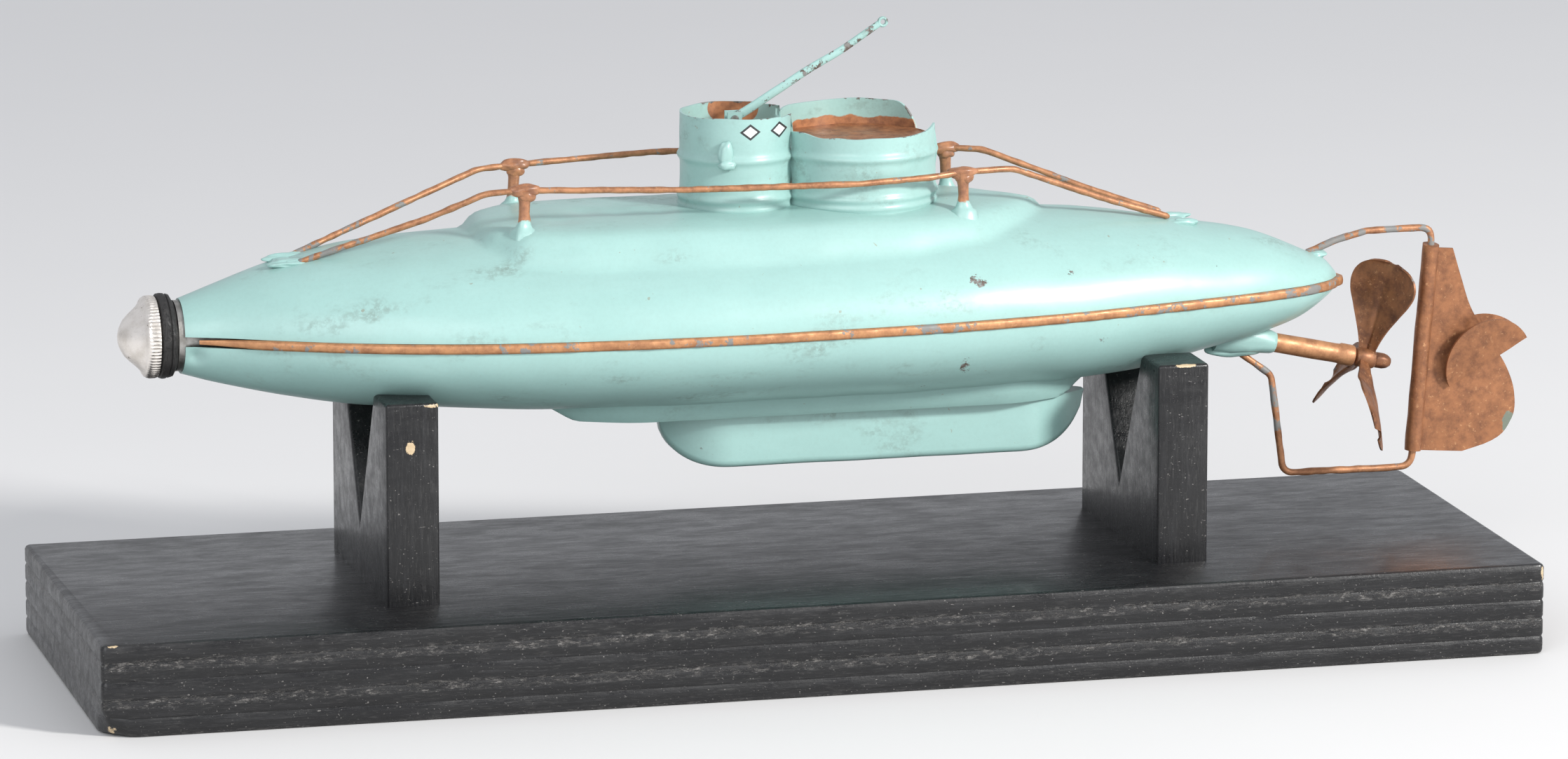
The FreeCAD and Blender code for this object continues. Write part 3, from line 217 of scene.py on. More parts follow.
# %% Shader tools
class Paint:
    """A material with short ways to add and join its nodes."""

    def __init__(self, name):
        self.material = bpy.data.materials.new(name)
        self.material.use_nodes = True
        self.tree = self.material.node_tree
        self.tree.nodes.clear()
        self.out = self.tree.nodes.new("ShaderNodeOutputMaterial")
        self.shader = self.tree.nodes.new("ShaderNodeBsdfPrincipled")
        self.tree.links.new(self.shader.outputs[0], self.out.inputs["Surface"])
        self.where = self.tree.nodes.new("ShaderNodeTexCoord").outputs["Object"]

    def feed(self, socket, value):
        if isinstance(value, bpy.types.NodeSocket):
            self.tree.links.new(value, socket)
        else:
            socket.default_value = value

    def stretch(self, x, y, z):
        """Object coordinates in millimetres, scaled along each axis."""
        node = self.tree.nodes.new("ShaderNodeVectorMath")
        node.operation = "MULTIPLY"
        self.feed(node.inputs[0], self.where)
        node.inputs[1].default_value = (1000 * x, 1000 * y, 1000 * z)
        return node.outputs[0]

    def noise(self, size, detail=4.0, rough=0.55, stretch=(1, 1, 1), shift=0.0):
        """Noise whose features are about size millimetres across."""
        node = self.tree.nodes.new("ShaderNodeTexNoise")
        node.noise_dimensions = "4D"
        self.feed(node.inputs["Vector"], self.stretch(*stretch))
        node.inputs["W"].default_value = shift
        node.inputs["Scale"].default_value = 1.0 / size
        node.inputs["Detail"].default_value = detail
        node.inputs["Roughness"].default_value = rough
        return node.outputs[0]

    def sum(self, how, a, b=0.0, clamp=False):
        node = self.tree.nodes.new("ShaderNodeMath")
        node.operation = how
        node.use_clamp = clamp
        self.feed(node.inputs[0], a)
        self.feed(node.inputs[1], b)
        return node.outputs[0]

    def step(self, value, low, high, bottom=0.0, top=1.0):
        """A soft step from low to high."""
        node = self.tree.nodes.new("ShaderNodeMapRange")
        node.interpolation_type = "SMOOTHSTEP"
        self.feed(node.inputs["Value"], value)
        node.inputs["From Min"].default_value = low
        node.inputs["From Max"].default_value = high
        node.inputs["To Min"].default_value = bottom
        node.inputs["To Max"].default_value = top
        return node.outputs[0]

    def axis(self, name):
        """One coordinate of the object, in metres."""
        node = self.tree.nodes.new("ShaderNodeSeparateXYZ")
        self.feed(node.inputs[0], self.where)
        return node.outputs[name]

    def near(self, centre, size):
        """1 at a spot given in millimetres, falling to 0 at its stated half sizes."""
        move = self.tree.nodes.new("ShaderNodeVectorMath")
        move.operation = "SUBTRACT"
        self.feed(move.inputs[0], self.where)
        move.inputs[1].default_value = [c * MM for c in centre]
        scale = self.tree.nodes.new("ShaderNodeVectorMath")
        scale.operation = "DIVIDE"
        self.feed(scale.inputs[0], move.outputs[0])
        scale.inputs[1].default_value = [s * MM for s in size]
        length = self.tree.nodes.new("ShaderNodeVectorMath")
        length.operation = "LENGTH"
        self.feed(length.inputs[0], scale.outputs[0])
        return self.step(length.outputs["Value"], 0.0, 1.0, 1.0, 0.0)

    def attribute(self, name):
        node = self.tree.nodes.new("ShaderNodeAttribute")
        node.attribute_name = name
        return node.outputs["Fac"]

    def mix(self, share, a, b):
        node = self.tree.nodes.new("ShaderNodeMix")
        node.data_type = "RGBA"
        self.feed(node.inputs["Factor"], share)
        for socket, value in ((node.inputs["A"], a), (node.inputs["B"], b)):
            self.feed(socket, (*value, 1.0) if isinstance(value, tuple) else value)
        return node.outputs["Result"]

    def bump(self, height, distance, strength=1.0, below=None):
        node = self.tree.nodes.new("ShaderNodeBump")
        node.inputs["Distance"].default_value = distance * MM
        node.inputs["Strength"].default_value = strength
        self.feed(node.inputs["Height"], height)
        if below is not None:
            self.feed(node.inputs["Normal"], below)
        return node.outputs[0]

    def set(self, **values):
        """Feed the shader's own sockets, given with underscores for spaces."""
        for name, value in values.items():
            socket = self.shader.inputs[name.replace("_", " ")]
            self.feed(socket, (*value, 1.0) if isinstance(value, tuple) else value)
        return self.material


ENAMEL = (0.315, 0.512, 0.482)
ENAMEL_DULL = (0.225, 0.365, 0.338)
COPPER = (0.42, 0.185, 0.085)
COPPER_DARK = (0.20, 0.085, 0.045)
GRIME = (0.10, 0.085, 0.06)
TIN = (0.20, 0.195, 0.185)
RUST_SPOT = (0.10, 0.07, 0.045)


def enamel(name, chips=0.0, dirt=0.0, copper=None, mark=False, knocks=()):
    """Blue-green enamel. Chips and dirt raise the wear, copper is a mask painted over it."""
    p = Paint(name)
    cloud = p.step(p.noise(38, 4, 0.6), 0.36, 0.68)
    brush_and_sheen = p.noise(2.2, 3, 0.6, (0.16, 1, 1), 3.1)
    colour = p.mix(p.sum("MULTIPLY", cloud, 0.22), ENAMEL, ENAMEL_DULL)
    # The lighter enamel laid along the brush marks is a painted sheen. The same noise also gives the brush
    # marks their relief.
    colour = p.mix(p.sum("MULTIPLY", p.step(brush_and_sheen, 0.45, 0.75), 0.10), colour, (0.41, 0.61, 0.58))
    stain = p.step(p.noise(11, 5, 0.68, (0.5, 1, 1), 7.7), 0.60 - dirt, 0.80 - dirt)
    stain = p.sum("MULTIPLY", stain, p.step(p.noise(1.1, 3, 0.7, shift=2.0), 0.36, 0.62))
    colour = p.mix(p.sum("MULTIPLY", stain, 0.48), colour, GRIME)
    specks = p.step(p.noise(1.5, 2, 0.5, shift=5.0), 0.735, 0.765)
    colour = p.mix(p.sum("MULTIPLY", specks, 0.5), colour, (0.23, 0.17, 0.10))
    mottling = p.step(p.noise(0.8, 3, 0.7, shift=11.0), 0.35, 0.75)
    colour = p.mix(p.sum("MULTIPLY", mottling, 0.10), colour, (0.20, 0.27, 0.24))
    if copper is not None:
        mask = copper(p)
        mottle = p.mix(p.step(p.noise(2.4, 5, 0.65, shift=1.5), 0.35, 0.70), COPPER, COPPER_DARK)
        colour = p.mix(mask, colour, mottle)
    wear = p.sum("ADD", p.noise(4.5, 6, 0.7, shift=9.0), p.sum("MULTIPLY", p.attribute("wear"), 0.16))
    for centre, size in knocks:
        ragged = p.step(p.noise(1.4, 5, 0.8, shift=2.5), 0.35, 0.65, 0.15, 0.62)
        knock = p.sum("ADD", p.sum("MULTIPLY", p.near(centre, size), 0.46), ragged)
        wear = p.sum("MAXIMUM", wear, knock)
    chip = p.step(wear, 0.735 - chips, 0.755 - chips)
    rust = p.mix(p.step(p.noise(1.0, 3, shift=4.0), 0.4, 0.6), TIN, (0.085, 0.06, 0.045))
    colour = p.mix(chip, colour, rust)
    if mark:
        for x in (-9.2, -2.6):
            across = p.sum("ABSOLUTE", p.sum("SUBTRACT", p.axis("X"), x * MM))
            up = p.sum("ABSOLUTE", p.sum("SUBTRACT", p.axis("Z"), 109.6 * MM))
            reach = p.sum("ADD", p.sum("DIVIDE", across, 2.2 * MM), p.sum("DIVIDE", up, 1.7 * MM))
            front = p.sum("LESS_THAN", p.axis("Y"), -2.0 * MM)
            inside = p.sum("MULTIPLY", p.sum("LESS_THAN", reach, 1.0), front)
            ring = p.sum("MULTIPLY", p.sum("LESS_THAN", reach, 0.68), front)
            colour = p.mix(inside, colour, (0.025, 0.028, 0.03))
            colour = p.mix(ring, colour, (0.72, 0.74, 0.72))
    rough = p.sum("ADD", p.step(p.noise(14, 3, shift=6.0), 0.3, 0.7, 0.30, 0.46),
                  p.sum("MULTIPLY", p.sum("MAXIMUM", stain, chip), 0.25))
    skin = p.bump(p.noise(3.5, 4, 0.6, shift=8.0), 0.05, 0.55)
    skin = p.bump(chip, 0.06, 0.7, p.bump(brush_and_sheen, 0.02, 0.35, skin))
    return p.set(Base_Color=colour, Roughness=rough, Normal=skin, Coat_Weight=0.18, Coat_Roughness=0.25)


def copper_paint(name, bare=0.0, green=None, light=COPPER, dark=COPPER_DARK):
    """Copper-bronze paint over tin, browned, with bare or green spots where it has rubbed off."""
    p = Paint(name)
    mottle = p.step(p.noise(3.0, 6, 0.72), 0.34, 0.70)
    colour = p.mix(mottle, light, dark)
    colour = p.mix(p.sum("MULTIPLY", p.step(p.noise(0.8, 3, 0.7, shift=2.0), 0.58, 0.72), 0.6),
                   colour, (0.62, 0.34, 0.17))
    worn = p.sum("ADD", p.noise(3.2, 6, 0.7, shift=5.0), p.sum("MULTIPLY", p.attribute("wear"), 0.2))
    chip = p.step(worn, 0.70 - bare, 0.73 - bare)
    colour = p.mix(chip, colour, TIN)
    if green is not None:
        spot = p.sum("MULTIPLY", p.near(*green), 1.35, True)
        patch = p.step(p.sum("ADD", spot, p.noise(1.1, 4, 0.8, shift=1.0)), 0.95, 1.10)
        colour = p.mix(p.sum("MULTIPLY", patch, 0.8), colour, (0.15, 0.225, 0.19))
    rough = p.step(p.noise(2.0, 4, shift=3.0), 0.3, 0.7, 0.36, 0.58)
    grain = p.bump(p.noise(0.7, 4, 0.6, shift=4.0), 0.04, 0.6)
    return p.set(Base_Color=colour, Metallic=p.sum("MULTIPLY", p.sum("SUBTRACT", 1.0, chip), 0.45),
                 Roughness=rough, Normal=p.bump(chip, 0.05, 0.6, grain))


def bare_metal(name, light, dark, rough, size=3.0, brushed=(1, 1, 1), spots=RUST_SPOT, spotting=0.0):
    """A plain metal with an uneven polish and a few tarnish spots."""
    p = Paint(name)
    colour = p.mix(p.step(p.noise(size, 5, 0.6), 0.34, 0.68), light, dark)
    tarnish = p.step(p.noise(size * 0.6, 4, 0.7, shift=4.0), 0.66 - spotting, 0.72 - spotting)
    colour = p.mix(tarnish, colour, spots)
    fine = p.noise(0.5, 3, 0.6, brushed, 2.0)
    polish = p.sum("ADD", p.step(fine, 0.3, 0.7, rough - 0.08, rough + 0.10), p.sum("MULTIPLY", tarnish, 0.3))
    return p.set(Base_Color=colour, Metallic=1.0, Roughness=polish, Normal=p.bump(fine, 0.02, 0.4))


def inner_copper(p):
    """The copper picked out inside the tower: the deck and a wavy band just above it."""
    edge = p.sum("ADD", p.axis("Z"), p.sum("MULTIPLY", p.noise(5.0, 3, shift=2.0), 3.2 * MM))
    low = p.step(edge, 109.0 * MM, 109.3 * MM, 1.0, 0.0)
    panel = p.step(p.near((-7.0, 11.0, 111.0), (8.0, 5.0, 5.0)), 0.16, 0.2)
    return p.sum("MULTIPLY", p.sum("MAXIMUM", low, panel), p.attribute("inside"))


def post_copper(p):
    """Posts are copper above a green foot, with a ragged line between."""
    edge = p.sum("ADD", p.axis("Z"), p.sum("MULTIPLY", p.noise(1.6, 3, shift=2.0), 2.2 * MM))
    return p.step(edge, 94.9 * MM, 95.3 * MM)


HULL_KNOCKS = (
    ((34.5, -27, 79.5), (3.2, 9, 2.6)), ((32.0, -27, 62.0), (2.2, 9, 3.6)),
    ((62.0, -21, 66.0), (2.0, 8, 1.6)), ((55.0, -22, 80.0), (1.8, 8, 1.4)),
    ((-52.0, -24, 63.0), (1.6, 8, 1.2)), ((-104.0, -9, 74.0), (2.6, 6, 1.6)),
    ((20.0, 27, 80.0), (3.0, 9, 2.0)), ((-40.0, 25, 84.0), (2.4, 8, 1.6)),
    ((88.0, -12, 78.0), (2.4, 6, 1.6)),
)
KEEL_KNOCKS = (((-26.0, -10, 30.0), (7.0, 9, 2.0)),)
enamel_hull = enamel("enamel_hull", chips=0.012, dirt=0.075, knocks=HULL_KNOCKS)
enamel_keel = enamel("enamel_keel", chips=0.03, dirt=0.07, knocks=KEEL_KNOCKS)
enamel_tower = enamel("enamel_tower", chips=0.045, dirt=0.08, copper=inner_copper, mark=True)
enamel_post = enamel("enamel_post", chips=0.02, copper=post_copper)
enamel_mast = enamel("enamel_mast", chips=0.20, dirt=0.08)
enamel_solder = enamel("enamel_solder", chips=0.03, dirt=0.05)
copper_seam = copper_paint("copper_seam", bare=0.035, light=(0.54, 0.27, 0.125),
                           dark=(0.32, 0.145, 0.07))
copper_rail = copper_paint("copper_rail", bare=0.04, light=(0.50, 0.24, 0.12), dark=(0.25, 0.11, 0.055))
copper_screw = copper_paint("copper_screw", light=(0.29, 0.125, 0.055), dark=(0.12, 0.05, 0.028))
copper_tube = copper_paint("copper_tube", light=(0.56, 0.28, 0.135), dark=(0.34, 0.155, 0.075))
copper_deck = copper_paint("copper_deck", bare=0.01)
copper_rudder = copper_paint("copper_rudder", green=((158.0, 0, 38.5), (2.6, 6.0, 4.4)),
                             light=(0.36, 0.155, 0.07), dark=(0.185, 0.078, 0.04))
nickel = bare_metal("nickel_plate", (0.95, 0.90, 0.85), (0.74, 0.69, 0.63), 0.34, 4.0, spotting=0.02)
tin = bare_metal("tinned_steel", (0.46, 0.45, 0.43), (0.25, 0.24, 0.22), 0.42, 3.0)
brass = bare_metal("brass_sheet", (0.66, 0.48, 0.22), (0.48, 0.33, 0.14), 0.32, 6.0, (0.1, 1, 1))
steel = bare_metal("bright_steel", (0.50, 0.50, 0.51), (0.32, 0.32, 0.33), 0.30, 4.0, (0.1, 1, 1))
blued = bare_metal("blued_spring", (0.16, 0.19, 0.27), (0.08, 0.09, 0.13), 0.28, 4.0, (1, 1, 0.1))
lead = bare_metal("cast_lead", (0.22, 0.225, 0.24), (0.12, 0.12, 0.13), 0.6, 5.0)


def make_rubber():
    """Perished black rubber: dull, dusty and finely crazed."""
    p = Paint("perished_rubber")
    dust = p.step(p.noise(1.6, 5, 0.7), 0.5, 0.75)
    crack = p.step(p.noise(0.9, 4, 0.7, (3, 1, 1), 2.0), 0.42, 0.5)
    colour = p.mix(p.sum("MULTIPLY", dust, 0.3), (0.018, 0.017, 0.017), (0.09, 0.085, 0.08))
    return p.set(Base_Color=colour, Roughness=p.step(dust, 0, 1, 0.55, 0.85), Normal=p.bump(crack, 0.18, 0.8))


def make_black_plywood(name, ends, chips=(), along=(0.05, 1, 1)):
    """Black paint on plywood. Ends is how far the plies show on the cut edges."""
    p = Paint(name)
    grain = p.noise(0.9, 5, 0.7, along)
    fine = p.noise(0.35, 4, 0.75, [0.12 if a < 1 else 1 for a in along], 3.0)
    brushed = p.step(grain, 0.46, 0.70)
    patchy = p.step(p.noise(16, 4, 0.7, (0.4, 1, 1), 5.0), 0.30, 0.72, 0.25, 1.0)
    specks = p.step(p.noise(0.38, 2, 0.6, (0.6, 1, 1), 9.0), 0.66, 0.72)
    colour = p.mix(brushed, (0.005, 0.005, 0.0058), (0.015, 0.015, 0.0165))
    dust = p.sum("MULTIPLY", p.step(fine, 0.50, 0.74), patchy)
    colour = p.mix(p.sum("MULTIPLY", dust, 0.26), colour, (0.15, 0.145, 0.14))
    colour = p.mix(p.sum("MULTIPLY", specks, 0.5), colour, (0.30, 0.285, 0.27))
    ply = p.sum("PINGPONG", p.sum("ADD", p.axis("Z"), p.sum("MULTIPLY", grain, 1.1 * MM)), 3.8 * MM)
    line = p.sum("MULTIPLY", p.step(ply, 0.4 * MM, 1.5 * MM, 1.0, 0.0), ends)
    ragged = p.sum("MULTIPLY", line, p.step(p.noise(0.75, 5, 0.85, (0.30, 1, 1), 8.0), 0.50, 0.62))
    side = p.sum("MULTIPLY", ragged, p.step(p.axis("Z"), 18.2 * MM, 18.8 * MM, 1.0, 0.0))
    colour = p.mix(p.sum("MULTIPLY", side, 0.75), colour, (0.19, 0.18, 0.17))
    bare = None
    for centre, size in chips:
        spot = p.sum("ADD", p.sum("MULTIPLY", p.near(centre, size), 0.8), p.noise(0.9, 4, 0.8, shift=6.0))
        spot = p.step(spot, 0.95, 1.0)
        bare = spot if bare is None else p.sum("MAXIMUM", bare, spot)
    if bare is not None:
        wood = p.mix(p.noise(0.6, 4, 0.7, (0.2, 1, 1)), (0.62, 0.50, 0.33), (0.42, 0.30, 0.17))
        colour = p.mix(bare, colour, wood)
    rough = p.step(p.noise(3.0, 4, 0.7, (0.3, 1, 1), 4.0), 0.3, 0.7, 0.22, 0.46)
    relief = p.bump(grain, 0.16, 0.9)
    relief = p.bump(p.noise(0.6, 3, 0.7, shift=7.0), 0.07, 0.7, relief)
    relief = p.bump(p.sum("SUBTRACT", 1.0, side), 0.10, 0.9, relief)
    rough = p.sum("ADD", rough, p.sum("MULTIPLY", dust, 0.3))
    return p.set(Base_Color=colour, Roughness=rough, Normal=relief,
                 Coat_Weight=0.20, Coat_Roughness=0.16, Specular_IOR_Level=0.42)


rubber = make_rubber()
plywood = make_black_plywood("black_board", 1.0, (((-149.0, -47.0, 1.0), (5.0, 5.0, 3.0)),
                                                  ((-147.5, -47.5, 19.0), (2.5, 1.5, 1.2)),
                                                  ((149.5, -47.5, 17.0), (1.0, 1.0, 4.0))))
upright_paint = make_black_plywood("black_upright", 0.0, (((-83.5, -28.0, 51.5), (2.2, 2.0, 3.0)),
                                                          ((-79.0, -27.6, 59.8), (4.0, 1.2, 1.0)),
                                                          ((78.5, -27.8, 60.2), (5.0, 1.2, 0.8))),
                                   along=(1, 1, 0.06))
print("materials:", len(bpy.data.materials))

# %% [markdown]
# ## Plain finishes for the parts inside
# The clockwork, the ballast and the screws are out of sight, but a lifted or opened toy shows them.
# They keep their engineering shapes and take a metal that suits their job: brass for wheels and
# plates, steel for arbors, blued steel for the spring.

# %% Finish the engineering parts
slot_finish = {
    "black_plywood": plywood, "steel": steel, "spring_steel": blued, "green_enamel": enamel_solder,
    "copper_paint": copper_screw, "lead": lead, "nickel": nickel, "black_rubber": rubber,
    "tinned_steel": tin, "brass": brass,
}
slot_of = {entry["node"]: entry["material_slot"] for entry in frame["record"]["subparts"]}
for name, obj in frame["nodes"].items():
    obj.data.materials.clear()
    obj.data.materials.append(slot_finish[slot_of[name]])
print("engineering parts finished:", len(slot_of))

# %% [markdown]
# ## The hull's lines
# A pressed tin hull is two shells drawn over wooden or iron formers, so its sections are smooth ovals.
# Fifteen shares along the length carry the half breadth, the rise and the depth, and smooth curves join them.

# %% Hull lines
BOW, LENGTH, SEAM = -125.0, 243.5, 71.1
SHARES = (0.0, 0.0246, 0.0780, 0.1355, 0.2180, 0.3490, 0.5130, 0.6570, 0.7515, 0.8130, 0.8747, 0.9360,
          0.9730, 0.9918, 1.0)
BREADTH = (7.2, 9.5, 15.85, 21.9, 27.9, 31.7, 31.7, 29.3, 25.4, 21.7, 17.6, 12.8, 8.6, 4.75, 1.9)
RISE = (7.2, 9.3, 13.3, 16.5, 18.0, 19.4, 20.0, 19.4, 17.6, 16.2, 13.4, 10.1, 6.4, 4.1, 1.8)
DEPTH = (7.2, 9.1, 12.2, 14.4, 16.1, 17.8, 18.0, 17.8, 17.0, 15.8, 12.7, 9.2, 5.7, 2.7, 1.26)
STATION_X = [BOW + share * LENGTH for share in SHARES]


def half_breadth(x):
    return spline(STATION_X, BREADTH, x)


def rise(x):
    return spline(STATION_X, RISE, x)


def depth(x):
    return spline(STATION_X, DEPTH, x)


def blend(a, b, width):
    """The larger of two heights, with a soft fillet where they meet."""
    h = np.clip(0.5 + 0.5 * (a - b) / width, 0, 1)
    return a * h + b * (1 - h) + width * h * (1 - h)


CASING = ((0.0, 0.0), (0.012, 0.52), (0.06, 0.83), (0.15, 0.95), (0.34, 1.0), (0.56, 1.0), (0.74, 0.93),
          (0.86, 0.78), (0.94, 0.46), (0.985, 0.18), (1.0, 0.0))
CASING_START, CASING_LENGTH, CASING_HALF, CASING_EDGE, CASING_CROWN = BOW + 61.0, 117.0, 19.5, 20.1, 1.9


def casing_plan():
    """The casing's top edge in plan, as a closed ring of points."""
    shares = [s for s, _ in CASING]
    fine = np.concatenate([np.linspace(0, 0.09, 14), np.linspace(0.1, 1, 50)])
    widths = np.interp(fine, shares, [w for _, w in CASING])
    smooth = np.convolve(np.pad(widths, 1, mode="edge"), (0.25, 0.5, 0.25), "valid")
    smooth[0], smooth[-1] = 0.0, 0.0
    xs = CASING_START + fine * CASING_LENGTH
    port = np.stack([xs, -smooth * CASING_HALF], 1)
    return np.concatenate([port, port[::-1][1:-1] * (1, -1)])


PLAN = casing_plan()


def inside_plan(x, y):
    """Signed distance to the casing's top edge, positive inside, for arrays of points."""
    a, b = PLAN, np.roll(PLAN, -1, axis=0)
    p = np.stack([x.ravel(), y.ravel()], 1)[:, None, :]
    side = (b - a)[None]
    t = np.clip(((p - a) * side).sum(2) / (side**2).sum(2), 0, 1)
    near = np.sqrt((((p - a) - t[..., None] * side) ** 2).sum(2)).min(1)
    crossing = ((a[:, 1] > p[..., 1]) != (b[:, 1] > p[..., 1])) & (
        p[..., 0] < (b - a)[:, 0] * (p[..., 1] - a[:, 1]) / (side[..., 1] + 1e-12) + a[:, 0])
    within = crossing.sum(1) % 2 == 1
    return np.where(within, near, -near).reshape(x.shape)


def deck_surface(x, y):
    """Height above the seam of the upper pressing, casing included, for arrays of points."""
    x, y = np.atleast_1d(np.asarray(x, float)), np.atleast_1d(np.asarray(y, float))
    bare = rise(x) * np.sqrt(np.clip(1 - (y / half_breadth(x)) ** 2, 0, 1))
    inside = inside_plan(x, y)
    plateau = CASING_EDGE + CASING_CROWN * (1 - np.exp(-np.maximum(inside, 0) / 5.5))
    outside = np.minimum(inside, 0)
    slope = CASING_EDGE + 0.2 + 1.02 * inside - 0.16 * outside ** 2
    raised = -blend(-plateau, -slope, 0.9)
    return blend(bare, raised, 1.5)


def deck_z(x, y=0.0):
    """Height in the frame of one point of the deck."""
    return SEAM + float(deck_surface([x], [y])[0])


print("deck height amidships: %.1f mm" % deck_z(-30))

# %% [markdown]
# ## The upper pressing
# Seen close, hand-dressed tin is never fair: it has shallow waves, and knocks leave small dents.
# The casing is raised in the same sheet, so its foot is a soft hollow and its top edge a soft round.

# %% Upper pressing
DENTS = ((-42, -3, 3.2, -0.45), (-36, -6, 2.4, -0.35), (-31, -2, 2.0, 0.30), (-27, -7, 2.2, -0.30),
         (-48, -9, 4.0, -0.35), (-24, 3, 3.0, -0.25), (40, -17, 6.0, -0.35), (-88, -9, 7.0, -0.30),
         (74, -11, 5.0, -0.30), (-15, -24, 9.0, -0.25), (52, 8, 6.0, -0.3), (-60, 20, 7.0, -0.35))


def stations(count):
    """Cross-section positions, closer together at both ends."""
    t = np.linspace(0, 1, count)
    return BOW + LENGTH * (0.5 - 0.5 * np.cos(math.pi * t))


def make_upper():
    xs = stations(250)
    rows = []
    wear = []
    for x in xs:
        w, h = float(half_breadth(x)), float(rise(x))
        start = math.asin(min(0.9, 1.0 / h))
        turn = np.linspace(start, math.pi - start, 131)
        ys = -w * np.cos(turn)
        zs = deck_surface(np.full_like(ys, x), ys)
        edge = inside_plan(np.full_like(ys, x), ys)
        row = []
        for y, z, gap in zip(ys, zs, edge):
            fade = min(1.0, z / 6.0)
            z += fade * wobble((x, y, 0), 17, 0.34, 1.0) + fade * wobble((x, y, 0), 6, 0.08, 4.0)
            for cx, cy, size, deep in DENTS:
                z += deep * math.exp(-((x - cx) ** 2 + (y - cy) ** 2) / size**2)
            row.append((x, y, SEAM + z))
            wear.append(0.42 * math.exp(-abs(gap) / 1.3) + 0.35 * math.exp(-(z - 1) / 1.2))
        rows.append(row)
    bm = grid_mesh(rows)
    thicken(bm, 0.45)
    layer = bm.verts.layers.float.new("wear")
    bm.verts.ensure_lookup_table()
    for vert, value in zip(bm.verts, wear):
        vert[layer] = value
    return finish_mesh("upper_pressing", bm, "hull", ["hull_upper_shell"], enamel_hull, 50)


upper = make_upper()
print("upper pressing faces:", len(upper.data.polygons))

# %% [markdown]
# ## The lower pressing and the keel
# The lower shell mirrors the upper one, and a shallow pad is sweated under it to stiffen the bottom.
# The deep keel is a folded tin trough, boat-shaped in plan, that carries the lead low down.

# %% Lower pressing, keel pad and keel
def make_lower():
    rows = []
    wear = []
    for x in stations(230):
        w, h = float(half_breadth(x)), float(depth(x))
        start = math.asin(min(0.85, 1.0 / h))
        row = []
        for turn in np.linspace(start, math.pi - start, 97):
            y, z = w * math.cos(turn), h * math.sin(turn)
            fade = min(1.0, z / 6.0)
            z += fade * wobble((x, y, 3), 15, 0.32, 2.0)
            pocket = math.exp(-((x + 123) ** 2 + (z - 2.8) ** 2) / 3.0) * (y < 0)
            row.append((x, y + 0.8 * pocket, SEAM - z))
            wear.append(0.3 * math.exp(-(z - 1) / 1.2) + 0.9 * pocket + 0.2 * math.exp(-abs(x + 125) / 2))
        rows.append(row)
    bm = thicken(grid_mesh(rows), 0.45)
    layer = bm.verts.layers.float.new("wear")
    bm.verts.ensure_lookup_table()
    for vert, value in zip(bm.verts, wear):
        vert[layer] = value
    return finish_mesh("lower_pressing", bm, "hull", ["hull_lower_shell"], enamel_hull, 50)


def pad_half(share, half, ends):
    """Half width of a boat-shaped plan at a share of its length."""
    return half * min(1.0, 0.12 + 0.88 * math.sin(min(1.0, min(share, 1 - share) / ends) * math.pi / 2))


def make_keel_pad():
    low, x0, length = SEAM - 18.0 - 2.4, -52.0, 117.0
    rows = []
    for share in np.linspace(0, 1, 90):
        x = x0 + share * length
        half = pad_half(share, 13.5, 0.19) + 1.5
        row = []
        for t in np.linspace(-1, 1, 41):
            y = t * half
            bare = SEAM - float(depth(x)) * math.sqrt(max(0, 1 - (y / float(half_breadth(x))) ** 2))
            fall = min(1.0, (1 - abs(t)) / 0.22, min(share, 1 - share) / 0.07)
            soft = fall * fall * (3 - 2 * fall)
            row.append((x, y, bare + (low - bare) * soft - 0.06 + wobble((x, y, 0), 12, 0.12, 3.0) * soft))
        back = [(px, py, pz + 0.7 + (SEAM - 17.5 - pz) * 0.2) for px, py, pz in row]
        rows.append(row + back[::-1])
    bm = grid_mesh(rows, close_columns=True, caps=True)
    return finish_mesh("keel_pad", bm, "hull", ["keel_plate"], enamel_keel, 40)


def make_keel():
    top, low, x0, length, half = SEAM - 20.3, SEAM - 31.6, -26.5, 91.0, 8.5
    fore, aft = 13.0, 17.0
    rows = []
    for share in np.linspace(0, 1, 110):
        x = x0 + share * length
        lift = 0.0
        if x < x0 + fore:
            lift = (top - low) * 0.98 * (1 - math.sqrt(max(0, 1 - ((x0 + fore - x) / fore) ** 2.4)))
        if x > x0 + length - aft:
            lift = (top - low) * 0.98 * (1 - math.sqrt(max(0, 1 - ((x - x0 - length + aft) / aft) ** 2.4)))
        wide = pad_half(share, half, 0.16)
        bottom = low + lift
        bend = min(1.6, 0.45 * (top - bottom), 0.7 * wide)
        row = [(-wide, top), (-wide, top - 0.35 * (top - bottom - bend)), (-wide, bottom + bend)]
        for k in range(1, 6):
            turn = math.pi / 2 * k / 5
            row.append((-wide + bend * (1 - math.cos(turn)), bottom + bend * (1 - math.sin(turn))))
        row += [(-wide + bend + (wide - bend) * f, bottom) for f in (0.3, 0.65)] + [(0, bottom)]
        row += [(-y, z) for y, z in row[-2::-1]]
        rows.append([(x, y + wobble((x, y, z), 14, 0.16, 5.0),
                      z + wobble((x, 0, z), 9, 0.10, 6.0) * (z < top))
                     for y, z in row])
    bm = grid_mesh(rows, close_columns=True, caps=True)
    layer = bm.verts.layers.float.new("wear")
    for vert in bm.verts:
        vert[layer] = 0.55 * math.exp(-(vert.co.z / MM - low) / 1.1)
    return finish_mesh("keel_trough", bm, "hull", ["keel_box"], enamel_keel, 40)


lower, pad, keel = make_lower(), make_keel_pad(), make_keel()

# %% [markdown]
# ## The seam
# Both shells end in a narrow flange; the two flanges are laid together, nipped and soldered,
# and the joint was picked out in copper. It starts as a point behind the bow on either side.

